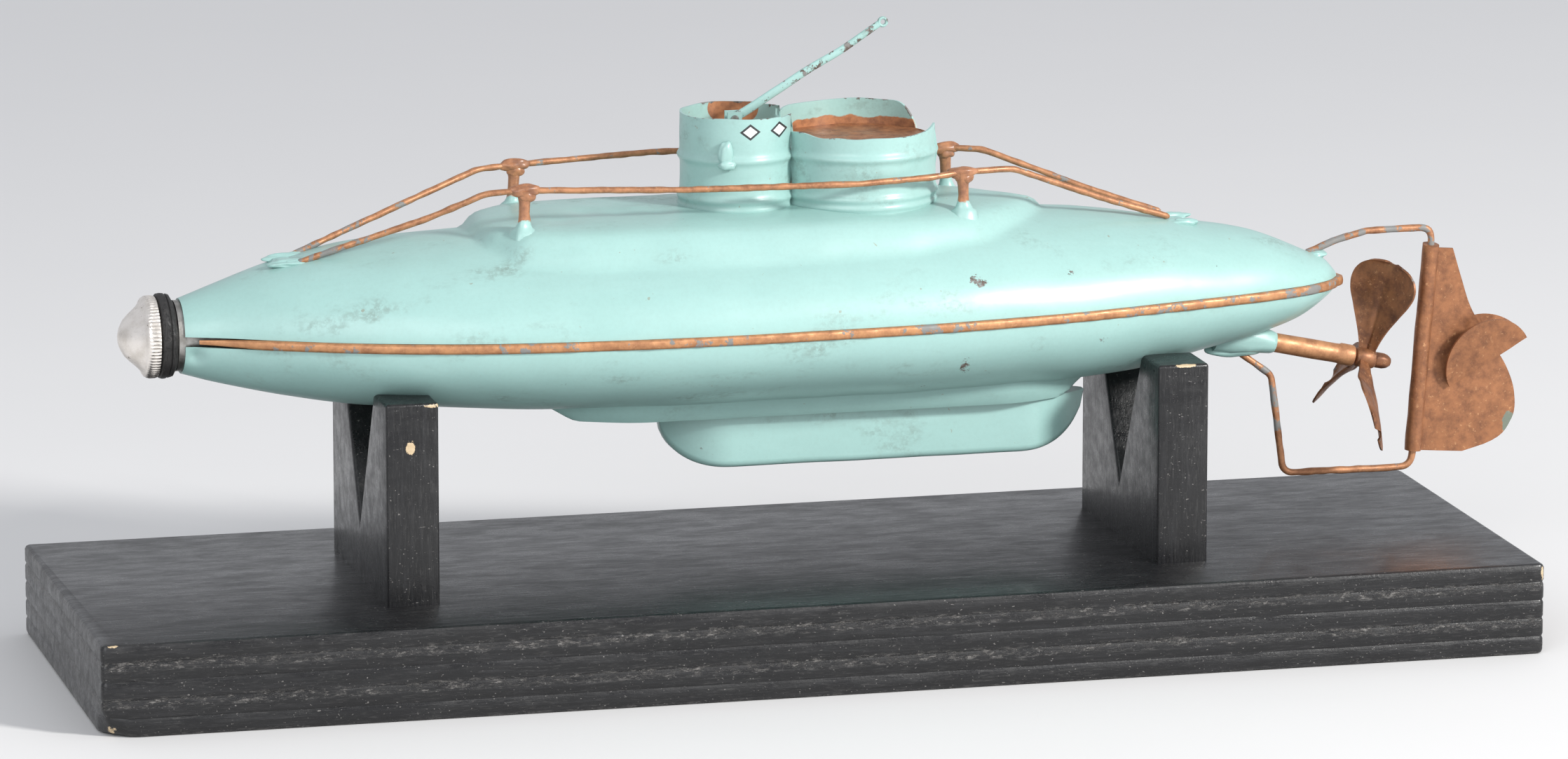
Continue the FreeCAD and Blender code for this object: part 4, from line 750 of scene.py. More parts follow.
# %% Seam band
def make_seam():
    xs = np.unique(np.concatenate([np.linspace(BOW + 2.6, 108, 190), np.linspace(108, 118.5, 40)]))
    port = [(float(x), -float(half_breadth(x))) for x in xs]
    end = port[-1]
    tip = [(end[0] + 1.3 * math.sin(a) * 0.9, end[1] * math.cos(a)) for a in (0.5, 1.0, 1.57)]
    line = port + tip + [(x, -y) for x, y in reversed(port + tip[:-1])]
    line = [Vector((x, y, 0)) for x, y in line]
    rows = []
    for k, spot in enumerate(line):
        ahead = (line[min(k + 1, len(line) - 1)] - line[max(k - 1, 0)]).normalized()
        out = Vector((ahead.y, -ahead.x, 0))
        grow = min(1.0, 0.12 + min(k, len(line) - 1 - k) / 12.0)
        ragged = 1 + wobble((spot.x, spot.y, 0), 3.0, 0.28, 3.0) + wobble((spot.x, spot.y, 0), 0.9, 0.14, 8.0)
        reach = 1.15 * grow * ragged
        rows.append([spot + out * a * reach + Vector((0, 0, SEAM + b * (0.35 + 0.65 * grow)))
                     for a, b in ((-0.5, 1.0), (0.55, 1.0), (0.88, 0.82), (1.0, 0.42), (1.04, 0.06),
                                  (1.04, -0.06), (1.0, -0.42), (0.88, -0.82), (0.55, -1.0), (-0.5, -1.0))])
    bm = grid_mesh(rows, close_columns=True, caps=True)
    layer = bm.verts.layers.float.new("wear")
    for vert in bm.verts:
        vert[layer] = 0.5 + 0.5 * noise.noise(vert.co * 60)
    return finish_mesh("seam_flange", bm, "hull", ["seam_band"], copper_seam, 50)


seam = make_seam()
print("seam flange faces:", len(seam.data.polygons))

# %% [markdown]
# ## The nose
# The winding square hides under a turned and nickelled cap with a knurled rim.
# A ring of perished rubber seals it against the neck of the hull.

# %% Nose cap, gasket and collar
def knurl(distance, angle, radius):
    """Fine straight ridges on the rim only."""
    on_rim = max(0.0, 1 - abs(distance + 131.2) / 1.3)
    return -0.26 * on_rim * abs(math.sin(36 * angle)) ** 0.7


def make_cap():
    outer = [(-137.6, 0.05), (-137.55, 1.2), (-137.2, 2.3), (-136.4, 3.75), (-135.2, 4.95), (-134.2, 5.8),
             (-133.5, 6.5), (-133.15, 6.95), (-132.95, 7.15), (-132.85, 7.6), (-132.55, 8.0),
             (-132.1, 8.25), (-131.6, 8.38), (-131.1, 8.38), (-130.6, 8.38), (-130.1, 8.25), (-129.92, 8.0),
             (-129.9, 5.5), (-121.0, 5.5), (-120.9, 4.2), (-132.4, 4.2), (-132.5, 0.05)]
    bm = lathe(outer, 288, knurl)
    return place(bm, Matrix.Translation((0, 0, SEAM)))


def make_gasket():
    def swollen(distance, angle, radius):
        return -0.3 * (radius > 6.5) * (1 + noise.noise(Vector((distance * 0.5, 2.6 * math.cos(angle),
                                                                  2.6 * math.sin(angle)))) * 1.3)
    outer = [(-129.84, 5.6), (-129.84, 8.2), (-129.6, 8.75), (-128.9, 8.85), (-128.2, 8.8), (-127.9, 8.5),
             (-127.7, 8.75), (-127.2, 8.7), (-126.8, 8.0), (-126.4, 7.4), (-126.36, 5.6)]
    return place(lathe(outer, 120, swollen), Matrix.Translation((0, 0, SEAM)))


cap = finish_mesh("knurled_cap", make_cap(), "cap", ["nose_cap"], nickel, 40)
gasket = finish_mesh("gasket_ring", make_gasket(), "gasket", ["nose_gasket"], rubber, 45)
print("nose pieces:", cap.name, gasket.name)

# %% [markdown]
# ## The tower
# The conning tower is one strip of thin tin bent into two joined rings, beaded to stiffen it.
# Its upper edge was snipped by hand: high forward, low on the port side aft, open at the after end.

# %% Tower wall
LOBES = ((-9.5, 11.5), (16.1, 16.0))
WAIST_X = 0.9


def tower_wall_plan():
    """Points, outward directions and which ring they belong to, round the tower from aft."""
    (fx, fr), (ax, ar) = LOBES
    meet_aft = math.acos((WAIST_X - ax) / ar)
    meet_fore = math.acos((WAIST_X - fx) / fr)
    plan = []
    for angle in np.linspace(0.0, meet_aft, 70):
        plan.append((ax, ar, -angle, "aft"))
    for angle in np.linspace(meet_fore, 2 * math.pi - meet_fore, 92):
        plan.append((fx, fr, -angle, "fore"))
    for angle in np.linspace(2 * math.pi - meet_aft, 2 * math.pi, 70)[:-1]:
        plan.append((ax, ar, -angle, "aft"))
    return [(cx + r * math.cos(a), r * math.sin(a), math.cos(a), math.sin(a), ring)
            for cx, r, a, ring in plan]


def rim_height(x, y, ring):
    """Height of the snipped upper edge."""
    if ring == "fore":
        return 112.25 - 0.25 * (x > -2) + wobble((x, y, 0), 7, 0.25, 2.0)
    if x > 26 and -6.3 < y < 7.0:
        return 104.6 if abs(y - 0.35) < 6.2 else 106.5
    if y < 0:
        tip = max(0.0, (x - 22) / 9)
        return 107.9 + 1.2 * tip**3 + 0.5 * math.exp(-((x - 2) / 2) ** 2) + wobble((x, y, 0), 5, 0.3, 3.0)
    corner = max(0.0, (x - 26.5) / 3.5)
    return 111.0 - 3.0 * corner**3 + wobble((x, y, 0), 8, 0.3, 1.0)


def bead(z):
    """How far the wall swells at a height: three pressed beads and a lip at the foot."""
    swell = 0.0
    for level, width, proud in ((103.5, 0.75, 0.62), (95.2, 0.75, 0.55), (93.4, 0.6, 0.45)):
        swell += proud * math.exp(-(((z - level) / width) ** 2))
    return swell


def make_tower():
    plan = tower_wall_plan()
    columns = []
    wear = []
    levels = 46
    for x, y, nx, ny, ring in plan:
        foot = deck_z(x, y) - 0.35
        top = rim_height(x, y, ring)
        column = []
        for k in range(levels):
            z = foot + (top - foot) * k / (levels - 1)
            out = bead(z) + wobble((x, y, z), 9, 0.22, 6.0) + 0.25 * math.exp(-(z - foot) / 0.5)
            column.append((x + nx * out, y + ny * out, z))
            wear.append(0.9 * math.exp(-(top - z) / 0.5) + 0.25 * math.exp(-(((z - 103.5) / 0.8) ** 2)))
        columns.append(column)
    bm = grid_mesh(columns, close_rows=True)
    bmesh.ops.recalc_face_normals(bm, faces=bm.faces[:])
    bm.normal_update()
    sample = max(bm.faces, key=lambda f: f.calc_center_median().x)
    if sample.normal.x < 0:
        bmesh.ops.reverse_faces(bm, faces=bm.faces[:])
    thicken(bm, 0.45)
    layer = bm.verts.layers.float.new("wear")
    inside = bm.verts.layers.float.new("inside")
    bm.verts.ensure_lookup_table()
    for k, vert in enumerate(bm.verts):
        vert[layer] = wear[k % len(wear)]
        vert[inside] = float(k >= len(wear))
    return finish_mesh("tower_rings", bm, "hull", ["tower_wall"], enamel_tower, 50)


def make_deck():
    """The tower's floor: one sheet, sagging a little, its sides raised slightly."""
    rows = []
    (fx, fr), (ax, ar) = LOBES
    fore_part = np.linspace(fx - fr + 0.6, WAIST_X, 34)
    aft_part = np.linspace(WAIST_X, ax + ar - 0.6, 50)
    for x in np.concatenate([fore_part, aft_part]):
        cx, r = (fx, fr) if x <= WAIST_X else (ax, ar)
        half = math.sqrt(max(0.2, (r - 0.55) ** 2 - (x - cx) ** 2))
        rows.append([(x, half * t, 105.45 + wobble((x, half * t, 0), 7, 0.22, 5.0) + 0.35 * abs(t) ** 8)
                     for t in np.linspace(-1, 1, 31)])
    bm = grid_mesh(rows)
    bm.normal_update()
    if bm.faces[:][0].normal.z < 0:
        bmesh.ops.reverse_faces(bm, faces=bm.faces[:])
    return finish_mesh("tower_floor", thicken(bm, 0.5), "hull", ["tower_deck"], copper_deck, 40)


tower, deck = make_tower(), make_deck()

# %% [markdown]
# ## The mast
# A folded strip of tin swings on a rivet between two lugs; its tip is rolled into a tiny eye.

# %% Mast and its fittings
def make_mast():
    swing = math.radians(30.6)
    ahead, up = Vector((math.cos(swing), 0, math.sin(swing))), Vector((-math.sin(swing), 0, math.cos(swing)))
    root = Vector((-10.0, 0, SEAM + 39.6))
    rows = []
    for t in np.concatenate([[-0.035, -0.03, -0.015], np.linspace(0, 1, 60)]):
        along = root + ahead * (t * 35.7) + up * wobble((t * 30, 0, 0), 9, 0.35, 2.0)
        high = 1.05 - 0.28 * max(0, t)
        wide = 0.52 - 0.04 * max(0, t)
        if t < 0:
            high *= math.sqrt(max(0.04, 1 - (t / 0.036) ** 2))
        row = []
        for k in range(16):
            a = 2 * math.pi * k / 16
            fold = 1 - 0.16 * (math.sin(a) > 0.6)
            row.append(along + up * (high * fold * math.sin(a)) + Vector((0, wide * math.cos(a), 0)))
        rows.append(row)
    bm = grid_mesh(rows, close_columns=True, caps=True)
    ring = []
    centre = root + ahead * 36.6
    for k in range(28):
        a = 2 * math.pi * k / 28
        radial = ahead * math.cos(a) + up * math.sin(a)
        ring.append([centre + radial * (0.82 + 0.33 * math.cos(b)) + Vector((0, 0.40 * math.sin(b), 0))
                     for b in np.linspace(0, 2 * math.pi, 13)[:-1]])
    return join(bm, grid_mesh(ring, close_rows=True, close_columns=True))


def make_rivet():
    profile = [(-1.85, 0.05), (-1.85, 0.7), (-1.55, 0.85), (-1.45, 0.5), (1.45, 0.5), (1.55, 0.85),
               (1.85, 0.7),
               (1.85, 0.05)]
    turn = Matrix.Translation((-10.0, 0, SEAM + 39.6)) @ Matrix.Rotation(math.radians(90), 4, "Z")
    return place(lathe(profile, 24), turn)


def make_clip():
    body = lump((-14.2, -10.9, 105.0), (1.55, 1.0, 2.9), 4.0, 0.2)
    lip = lump((-14.0, -11.4, 103.0), (1.9, 0.9, 1.0), 6.0, 0.2)
    return join(body, lip)


finish_mesh("folded_mast", make_mast(), "mast", ["mast"], enamel_mast, 45)
rivet = finish_mesh("mast_rivet", make_rivet(), "hull", ["mast_pin"], tin, 40)
finish_mesh("tower_lug", make_clip(), "hull", ["tower_clip"], enamel_solder, 60)
print("mast leans aft at 31 degrees and swings on", rivet.name)

# %% [markdown]
# ## Handrails
# Brass wire was bent over a block, held in the heads of four posts and soldered down at both ends.
# Hand bending leaves it slightly uneven, so the wire is drawn along a path that is not quite straight.

# %% Rails, posts and solder
def rail_route(side):
    if side < 0:
        route = ((-101.5, 3.9, 85.6), (-75.5, 10.3, 94.8), (-64.5, 13.8, 99.9), (-57, 14.3, 100.3),
                 (-23.5, 17.0, 99.4), (12.0, 18.45, 99.3), (27.0, 16.5, 99.6), (35.0, 14.2, 100.0),
                 (46.0, 11.7, 99.8), (68.0, 6.0, 91.3), (82.0, 3.0, 86.6))
    else:
        route = ((-101.5, 3.9, 85.6), (-75.5, 9.5, 94.9), (-60.5, 13.6, 99.9), (-53, 14.3, 100.4),
                 (-23.5, 17.0, 101.3), (16.0, 18.45, 100.9), (30.0, 16.4, 100.5), (39.0, 14.2, 100.0),
                 (46.0, 11.7, 99.8), (68.0, 6.0, 91.3), (82.0, 3.0, 86.6))
    return [Vector((x, side * y, z)) for x, y, z in route]


def make_rail(side):
    bm = wire(rail_route(side), 0.66, 9.0, 14, 0.05, 3.0 + side)
    layer = bm.verts.layers.float.new("wear")
    for vert in bm.verts:
        x = vert.co.x / MM
        vert[layer] = 0.35 + 0.4 * math.exp(-((x - (-95)) / 9) ** 2) + 0.3 * noise.noise(vert.co * 90)
    return bm


def make_post(x, y, head):
    """A turned post with a spread foot and a head wrapped round the wire."""
    foot = deck_z(x, y)
    tall = head - foot
    profile = ((-0.8, 0.05), (-0.8, 2.9), (0.15, 2.75), (0.55, 2.2), (1.0, 1.65), (1.7, 1.3), (2.6, 1.12),
               (0.45 * tall, 1.0), (0.70 * tall, 1.02), (0.86 * tall, 1.25), (tall, 1.5), (tall + 0.5, 0.05))
    rows = []
    lean = Vector((0.35 * (1 if x < 0 else -1), 0, 0))
    for up, radius in profile:
        row = []
        for k in range(28):
            a = 2 * math.pi * k / 28
            spot = Vector((x + radius * 1.12 * math.cos(a), y + radius * 0.9 * math.sin(a), foot + up))
            flare = 1 + wobble(spot, 1.8, 0.22, x)
            at = Vector((x, y, foot + up)) + (spot - Vector((x, y, foot + up))) * flare
            if up < 0.3:
                at.z = deck_z(at.x, at.y) + up - 0.1
            row.append(at + lean * (up / tall))
        rows.append(row)
    post = grid_mesh(rows, close_columns=True, caps=True)
    knob = lump((x + lean.x, y, head + 0.05), (3.3, 1.35, 1.35), x, 0.25)
    cheek = lump((x + lean.x + 0.3, y, head - 0.9), (1.8, 1.3, 1.5), x + 2, 0.25)
    return join(post, knob, cheek)


posts = ((-57.0, -14.3, 100.2, "rail_post_port_fore"), (35.0, -14.3, 99.9, "rail_post_port_aft"),
         (-53.0, 14.3, 100.3, "rail_post_starboard_fore"), (39.0, 14.3, 99.9, "rail_post_starboard_aft"))
for x, y, head, node in posts:
    finish_mesh("post_" + node[10:], make_post(x, y, head), "hull", [node], enamel_post, 60)
for side, word in ((-1, "port"), (1, "starboard")):
    finish_mesh("rail_" + word, make_rail(side), "hull", ["handrail_" + word], copper_rail, 60)


def solder_pad(x, half, seed):
    """Solder that has run along both wires' ends and over the deck."""
    lumps = []
    for side in (-1, 1):
        lumps.append(lump((x, side * 3.4, deck_z(x, 3.4) + 0.2), (half, 1.5, 0.9), seed + side, 0.35))
        end = (x + 0.2 * half, side * 3.8, deck_z(x, 3.8) + 0.3)
        lumps.append(lump(end, (0.6 * half, 1.0, 1.0), seed, 0.3))
    lumps.append(lump((x - 0.1 * half, 0, deck_z(x, 0) - 0.1), (0.7 * half, 3.6, 0.55), seed + 3, 0.3))
    return join(*lumps)


bow_pad = finish_mesh("bow_solder", solder_pad(-102.0, 5.2, 2.0), "hull", ["rail_solder_bow"],
                      enamel_solder, 60)
stern_pad = finish_mesh("stern_solder", solder_pad(84.0, 4.4, 5.0), "hull", ["rail_solder_stern"],
                        enamel_solder, 60)
print("posts:", len(posts), "pads:", bow_pad.name, stern_pad.name)

# %% [markdown]
# ## The shaft and the propeller
# The stern tube is a plain rolled tube soldered under the counter, inside a cone of solder and tin.
# The propeller is three sheet petals, each hammered hollow with a stiffening fold down the middle.

# %% Shaft line
SLOPE = math.radians(12.12)
TUBE_END = Vector((123.3, 0, 54.6))
SHAFT = Matrix.Rotation(SLOPE, 4, "Y")


def on_shaft(bm, distance):
    """Lay a piece built on X along the shaft, a distance aft of the tube's end."""
    spot = TUBE_END + Vector((math.cos(SLOPE), 0, -math.sin(SLOPE))) * distance
    return place(bm, Matrix.Translation(spot) @ SHAFT)


def make_stern_tube():
    profile = [(-34, 1.42), (-34, 2.0), (-16, 2.0), (-9, 2.06), (-4.2, 2.0), (-3.2, 2.05), (-2.9, 2.25),
               (-0.5, 2.25), (-0.05, 2.1), (0, 1.9), (0, 1.42)]

    def uneven(distance, angle, radius):
        return 0.06 * noise.noise(Vector((distance, math.cos(angle), math.sin(angle))) * 0.6)

    return on_shaft(lathe(profile, 48, uneven), 0)


def make_fairing():
    profile = [(-31.0, 2.03), (-31.0, 4.1), (-27, 3.9), (-23.5, 3.3), (-20.5, 2.7), (-18.4, 2.45),
               (-17.7, 2.2),
               (-17.6, 2.03)]
    cone = on_shaft(lathe(profile, 48, lambda d, a, r: (r > 2.1) * 0.3 * noise.noise(
        Vector((d * 0.3, 2 * math.cos(a), 2 * math.sin(a))))), 0)
    seat = lump((97.5, 0, 57.6), (6.5, 2.0, 1.9), 3.0, 0.25)
    return join(cone, seat)


def blade(turn):
    """One petal: narrow at the hub, widest at two thirds, hollowed and folded down its middle."""
    outline = ((0.06, 3.2, 22), (0.18, 4.6, 16), (0.34, 7.6, 9), (0.50, 11.6, 4), (0.64, 15.2, 1),
               (0.76, 16.9, -1),
               (0.86, 16.2, -3), (0.93, 13.4, -4), (0.975, 9.0, -5), (0.998, 3.6, -5))
    reach = [row[0] for row in outline]
    rows = []
    for u in np.concatenate([np.linspace(0.06, 0.86, 26), np.linspace(0.88, 0.998, 10)]):
        chord = float(spline(reach, [row[1] for row in outline], u))
        twist = math.radians(34.0 + float(spline(reach, [row[2] for row in outline], u)))
        along = Vector((math.sin(twist), -math.cos(twist), 0))
        out = Vector((math.cos(twist), math.sin(twist), 0))
        row = []
        for t in np.linspace(-1, 1, 27):
            hollow = 1.15 * (t * t) * math.sin(min(1, u) * math.pi * 0.8)
            fold = 0.42 * math.exp(-(t / 0.10) ** 2) * (u < 0.8) * (1 - u)
            skew = 1.4 * u * u
            spot = Vector((0, 0, u * 21.0)) + along * (0.5 * chord * t + skew) - out * (hollow - fold)
            row.append(spot + out * wobble(spot, 5, 0.3, turn))
        rows.append(row)
    bm = thicken(grid_mesh(rows), 0.42)
    bmesh.ops.recalc_face_normals(bm, faces=bm.faces[:])
    return place(bm, Matrix.Rotation(math.radians(turn), 4, "X"))


def make_propeller():
    hub = lathe([(-2.25, 0.8), (-2.25, 1.75), (-1.9, 2.0), (0, 2.05), (1.8, 1.95), (2.2, 1.7),
                 (2.2, 0.8)], 40)
    whole = join(hub, blade(4), blade(124), blade(244))
    layer = whole.verts.layers.float.new("wear")
    for vert in whole.verts:
        vert[layer] = 0.9 * max(0.0, (vert.co.length / MM - 18.5) / 4)
    return on_shaft(whole, (7.4 - 4.8) / math.cos(SLOPE))


def make_nut():
    profile = [(2.25, 0.8), (2.25, 1.5), (2.5, 1.65), (4.0, 1.65), (4.9, 1.4), (5.6, 0.9), (5.9, 0.05)]
    return on_shaft(lathe(profile, 24, lambda d, a, r: -0.18 * (1.6 < r) * abs(math.cos(3 * a)) ** 6),
                    (7.4 - 4.8) / math.cos(SLOPE))


finish_mesh("stern_tube_rolled", make_stern_tube(), "hull", ["stern_tube"], copper_tube, 40)
cone = finish_mesh("stern_fairing", make_fairing(), "hull", ["stern_tube_fairing"], enamel_solder, 60)
finish_mesh("propeller_petals", make_propeller(), "screw", ["propeller"], copper_screw, 60)
finish_mesh("propeller_cap_nut", make_nut(), "screw", ["propeller_nut"], copper_screw, 40)
print("propeller swings through %.0f mm" % (2 * 21.0))

# %% [markdown]
# ## The rudder
# One bent wire carries the rudder: it leaves the deck, drops through the rolled edge of the rudder
# and returns under the hull, where it also guards the propeller.

# %% Rudder, dive planes and guard wire
RAKE = math.radians(4.4)
FOOT = Vector((136.7, 0, SEAM - 37.3))
SPAN = 43.9
HINGE = Matrix.Translation(FOOT) @ Matrix.Rotation(RAKE, 4, "Y")


def make_rudder():
    heights = (0.0, 0.06, 0.16, 0.29, 0.42, 0.56, 0.69, 0.85, 0.985)
    reaches = (0.27, 0.405, 0.485, 0.490, 0.437, 0.332, 0.237, 0.166, 0.112)
    rows = []
    for b in np.linspace(0, 0.985, 54):
        far = float(spline(heights, reaches, b)) * SPAN
        if b < 0.03:
            far *= 0.93 + 0.07 * (b / 0.03)
        row = []
        for t in np.linspace(0, 1, 30):
            a = 1.0 + (far - 1.0) * t
            warp = 0.55 * t * t * math.sin(3.0 * b + 0.4) + wobble((a, 0, b * SPAN), 12, 0.35, 2.0) * t
            row.append((a, warp * 0.6, b * SPAN))
        rows.append(row)
    sheet = thicken(grid_mesh(rows), 0.42)
    rolled = []
    for b in np.linspace(0, 1, 50):
        row = []
        for k in range(28):
            a = 2 * math.pi * k / 28
            r = 1.72 + wobble((math.cos(a) * 2, math.sin(a) * 2, b * SPAN), 5, 0.16, 4.0)
            r -= 0.22 * math.exp(-((a - 1.9) / 0.22) ** 2)
            row.append((r * math.cos(a), r * math.sin(a), b * SPAN + 0.3 * math.sin(a) * (b > 0.98)))
        rolled.append(row)
    return place(join(sheet, grid_mesh(rolled, close_columns=True, caps=True)), HINGE)


def make_plane(side):
    """A half disc folded up from the rudder blade and dished by hand."""
    rows = []
    for u in np.linspace(0, 1, 16):
        row = []
        for angle in np.linspace(0, math.pi, 49):
            x, z = 9.8 * u * math.cos(angle), 9.8 * u * math.sin(angle)
            dish = 1.1 * (z / 9.9) ** 2 * side * -0.6 + wobble((x, 0, z), 7, 0.3, side)
            row.append((x, dish, z))
        rows.append(row)
    bm = grid_mesh(rows)
    bmesh.ops.remove_doubles(bm, verts=bm.verts[:], dist=1e-7)
    thicken(bm, 0.42)
    tilt = math.radians(30.0)
    middle = HINGE @ Vector((0, 0, 0.415 * SPAN)) + Vector((0.335 * SPAN, 0, 0))
    turn = Matrix.Translation(middle) @ Matrix.Rotation(-tilt, 4, "Y")
    splay = Matrix.Rotation(math.radians(-side * 20), 4, "X")
    turn = turn @ Matrix.Translation((0, side * 0.7, 0.15)) @ splay
    return place(bm, turn)


def make_guard():
    top = HINGE @ Vector((0, 0, SPAN + 3.7))
    foot = HINGE @ Vector((0, 0, -3.3))
    entry = deck_z(114.9)
    route = [(112.5, 0, entry + 0.55), (118.6, 0, entry + 2.9), (122.4, 0, top.z - 1.0),
             (126.0, 0, top.z - 0.15),
             top, foot, (131.0, 0, foot.z - 0.25), (108.3, 0, foot.z - 0.1), (105.5, 0, 51.4),
             (98.0, 0, 56.9)]
    bm = wire([Vector(p) for p in route], 0.74, 2.8, 14, 0.04, 7.0)
    layer = bm.verts.layers.float.new("wear")
    for vert in bm.verts:
        upper = vert.co.z > 0.077
        vert[layer] = 0.75 if upper else 0.15 + 0.5 * (vert.co.x < 0.110)
    return bm


finish_mesh("rudder_sheet", make_rudder(), "rudder", ["rudder"], copper_rudder, 60)
for side, word in ((-1, "port"), (1, "starboard")):
    finish_mesh("dive_plane_dished_" + word, make_plane(side), "plane_" + word, ["dive_plane_" + word],
                copper_rudder, 60)
finish_mesh("guard_wire", make_guard(), "hull", ["rudder_wire"], copper_rail, 60)
finish_mesh("wire_solder", lump((114.6, 0, deck_z(114.6) + 0.1), (2.6, 1.9, 1.0), 2.0, 0.3), "hull",
                   ["rudder_wire_solder"], enamel_solder, 60)
print("rudder span %.1f mm" % SPAN)

# %% [markdown]
# ## The stand
# The cradle is plywood sawn square, notched for the hull and painted black. The paint sinks into the
# edges, so the ply lines stay rough, and corners that were knocked show bare wood.

# %% Stand
def rounded_board(half_x, half_y, levels):
    """Rings of a rounded rectangle, each level giving a height and how far it is drawn in."""
    rows = []
    for z, inset in levels:
        row = []
        for cx, cy, start in ((1, -1, -90), (1, 1, 0), (-1, 1, 90), (-1, -1, 180)):
            for k in range(5):
                a = math.radians(start + 90 * k / 4)
                row.append((cx * (half_x - 1.2) + (1.2 - inset) * math.cos(a),
                            cy * (half_y - 1.2) + (1.2 - inset) * math.sin(a), z))
        dense = []
        for a, b in zip(row, row[1:] + row[:1]):
            pieces = max(1, int(math.dist(a, b) / 2.2))
            dense += [tuple(Vector(a).lerp(Vector(b), k / pieces)) for k in range(pieces)]
        rows.append(dense)
    return rows


def make_board():
    levels = [(0.0, 0.9), (0.3, 0.3), (0.9, 0.05)]
    for ply in range(1, 5):
        z = 3.8 * ply
        levels += [(z - 1.6, 0.0), (z - 0.55, 0.02), (z, 0.26), (z + 0.55, 0.02)]
    levels += [(18.2, 0.02), (18.75, 0.3), (19.0, 0.9)]
    rows = rounded_board(150.0, 47.5, levels)
    bm = grid_mesh(rows, close_columns=True)
    for ring, up in ((rows[0], -1), (rows[-1], 1)):
        inner = [bm.verts.new([c * MM for c in p]) for p in ring]
        bm.faces.new(inner if up > 0 else inner[::-1])
    bmesh.ops.remove_doubles(bm, verts=bm.verts[:], dist=1e-7)
    for vert in bm.verts:
        x, y, z = (c / MM for c in vert.co)
        if 1.2 < z < 18.0:
            rough = max(0.0, noise.noise(Vector((x * 0.5, y * 0.5, z * 1.6)))) * 0.5
            end = Vector((math.copysign(1, x), 0, 0))
            direction = end if abs(y) < 46.2 else Vector((0, math.copysign(1, y), 0))
            vert.co -= direction * rough * 0.5 * MM
        corner = math.dist((x, y, z), (-150, -47.5, 0))
        if corner < 6.5:
            vert.co += Vector((1, 1, 0.5)) * (6.5 - corner) * 0.28 * MM
    return bm


def make_upright(x, notch_top):
    """A sawn block with a V notch, its edges dubbed over."""
    low, high, apex, half, thick = 19.0, 60.5, 30.5, 28.0, 5.4
    outline = ((-half, low), (half, low), (half, high), (notch_top, high), (0, apex), (-notch_top, high),
               (-half, high))
    bm = bmesh.new()
    near = [bm.verts.new(((x - thick) * MM, y * MM, z * MM)) for y, z in outline]
    far = [bm.verts.new(((x + thick) * MM, y * MM, z * MM)) for y, z in outline]
    bm.faces.new(near[::-1])
    bm.faces.new(far)
    for k in range(len(outline)):
        after = (k + 1) % len(outline)
        bm.faces.new((near[k], near[after], far[after], far[k]))
    bmesh.ops.recalc_face_normals(bm, faces=bm.faces[:])
    sharp = [e for e in bm.edges
             if min(v.co.z for v in e.verts) > 0.0191 or e.verts[0].co.z != e.verts[1].co.z]
    bmesh.ops.bevel(bm, geom=sharp, affect="EDGES", offset=0.7 * MM, segments=3, profile=0.5, material=-1)
    return bm


finish_mesh("board_plies", make_board(), "stand", ["stand_base"], plywood, 35)
fore_upright = finish_mesh("upright_fore_sawn", make_upright(-83.0, 15.5), "stand",
                           ["stand_upright_fore"], upright_paint, 30)
aft_upright = finish_mesh("upright_aft_sawn", make_upright(78.0, 15.5), "stand",
                          ["stand_upright_aft"], upright_paint, 30)
print("board plies: 5, uprights:", fore_upright.name, aft_upright.name)

# %% [markdown]
# ## Light, floor and camera
# The toy stands on a broad sheet of pale paper. One broad lamp comes from the front right, low
# enough to reach under the hull, and the pale surroundings fill the shadows.

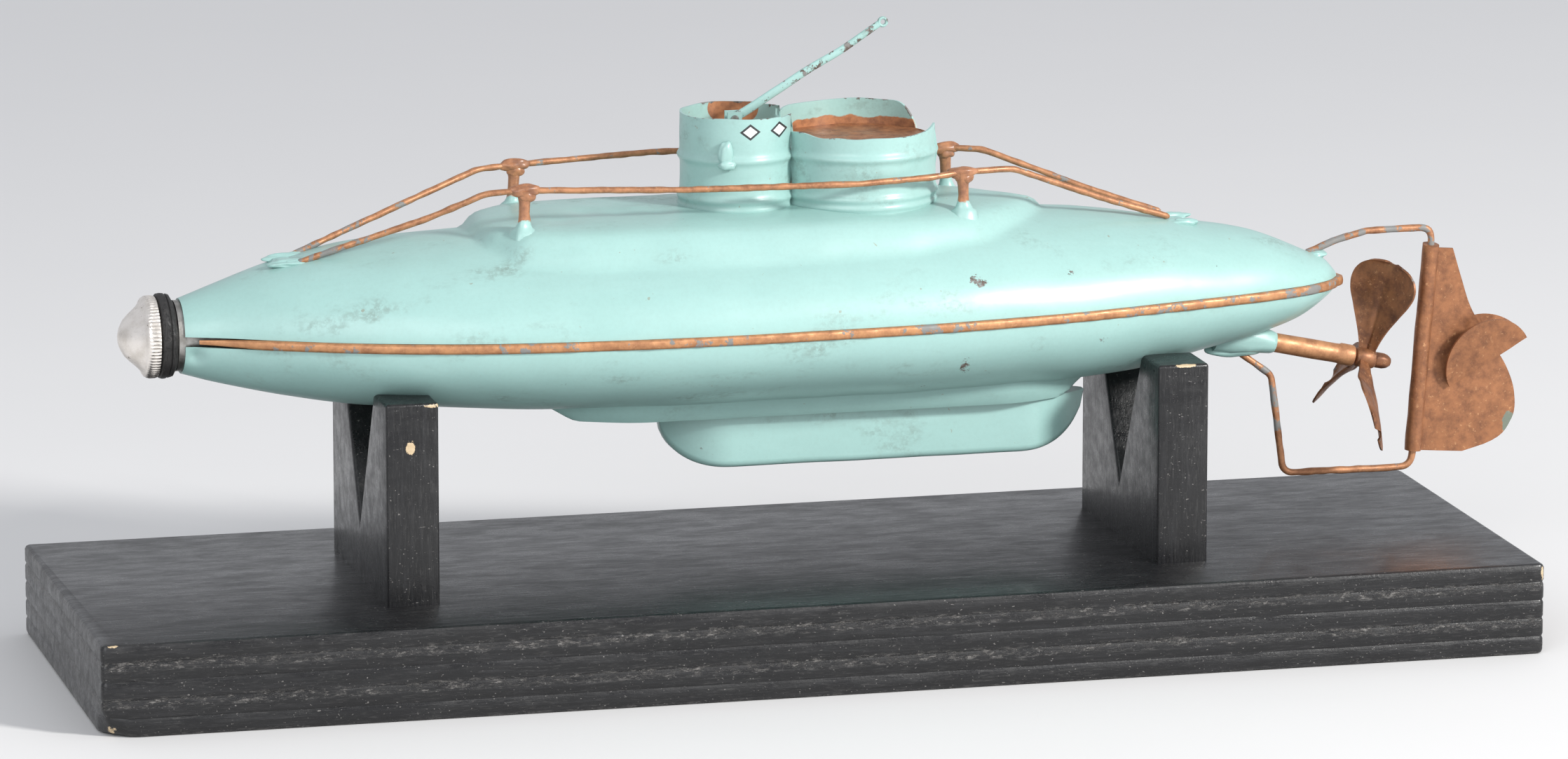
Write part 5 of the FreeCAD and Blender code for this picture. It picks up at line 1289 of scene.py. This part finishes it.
# %% Stage, light and camera
def make_floor():
    steps = np.linspace(-4000, 4000, 17)
    bm = grid_mesh([[(x, y, 0.0) for y in steps] for x in steps])
    bmesh.ops.recalc_face_normals(bm, faces=bm.faces[:])
    if bm.faces[:][0].normal.z < 0:
        bmesh.ops.reverse_faces(bm, faces=bm.faces[:])
    mesh = bpy.data.meshes.new("paper_floor")
    bm.to_mesh(mesh)
    bm.free()
    floor = bpy.data.objects.new("paper_floor", mesh)
    scene.collection.objects.link(floor)
    paper = Paint("pale_paper")
    # The paper is painted darker towards the back: painted shade for the dimmer light on the far paper.
    behind = paper.step(paper.axis("Y"), -0.25, 0.9)
    tone = paper.mix(behind, (0.78, 0.775, 0.77), (0.66, 0.66, 0.665))
    tone = paper.mix(paper.sum("MULTIPLY", paper.noise(60, 3, 0.5), 0.08), tone, (0.5, 0.5, 0.51))
    mesh.materials.append(paper.set(Base_Color=tone, Roughness=0.75))
    return floor


def add_lamp(name, place_at, aim, size, power, colour):
    light = bpy.data.lights.new(name, "AREA")
    light.shape = "RECTANGLE"
    light.size, light.size_y = size
    light.energy = power
    light.color = colour
    lamp = bpy.data.objects.new(name, light)
    lamp.location = place_at
    lamp.rotation_euler = (Vector(aim) - Vector(place_at)).to_track_quat("-Z", "Y").to_euler()
    scene.collection.objects.link(lamp)
    return lamp


make_floor()
add_lamp("key", (1.35, -1.45, 1.05), (0.0, 0.0, 0.06), (0.28, 0.28), 52, (1.0, 0.985, 0.96))
add_lamp("front_fill", (-1.2, -2.0, 1.1), (0.0, 0.0, 0.05), (1.6, 1.2), 22, (0.97, 0.985, 1.0))
world = bpy.data.worlds.new("room")
world.use_nodes = True
world.node_tree.nodes["Background"].inputs[0].default_value = (0.93, 0.95, 1.0, 1.0)
world.node_tree.nodes["Background"].inputs[1].default_value = 0.66
scene.world = world
scene.view_settings.view_transform = "Standard"

camera_data = bpy.data.cameras.new("camera")
camera_data.sensor_width = 36.0
camera_data.lens = 195.9
camera_data.dof.use_dof = False
camera_data.clip_end = 20.0
camera = bpy.data.objects.new("camera", camera_data)
camera.location = (-0.4190, -1.6660, 0.4087)
camera.rotation_euler = (Vector((0.0007, 0, 0.0557)) - camera.location).to_track_quat("-Z", "Y").to_euler()
scene.collection.objects.link(camera)
scene.camera = camera

# %% [markdown]
# ## Finish
# The view layer is brought up to date once more. The visible model has to stay inside the
# engineering model's box.

# %% Finish
bpy.context.view_layer.update()
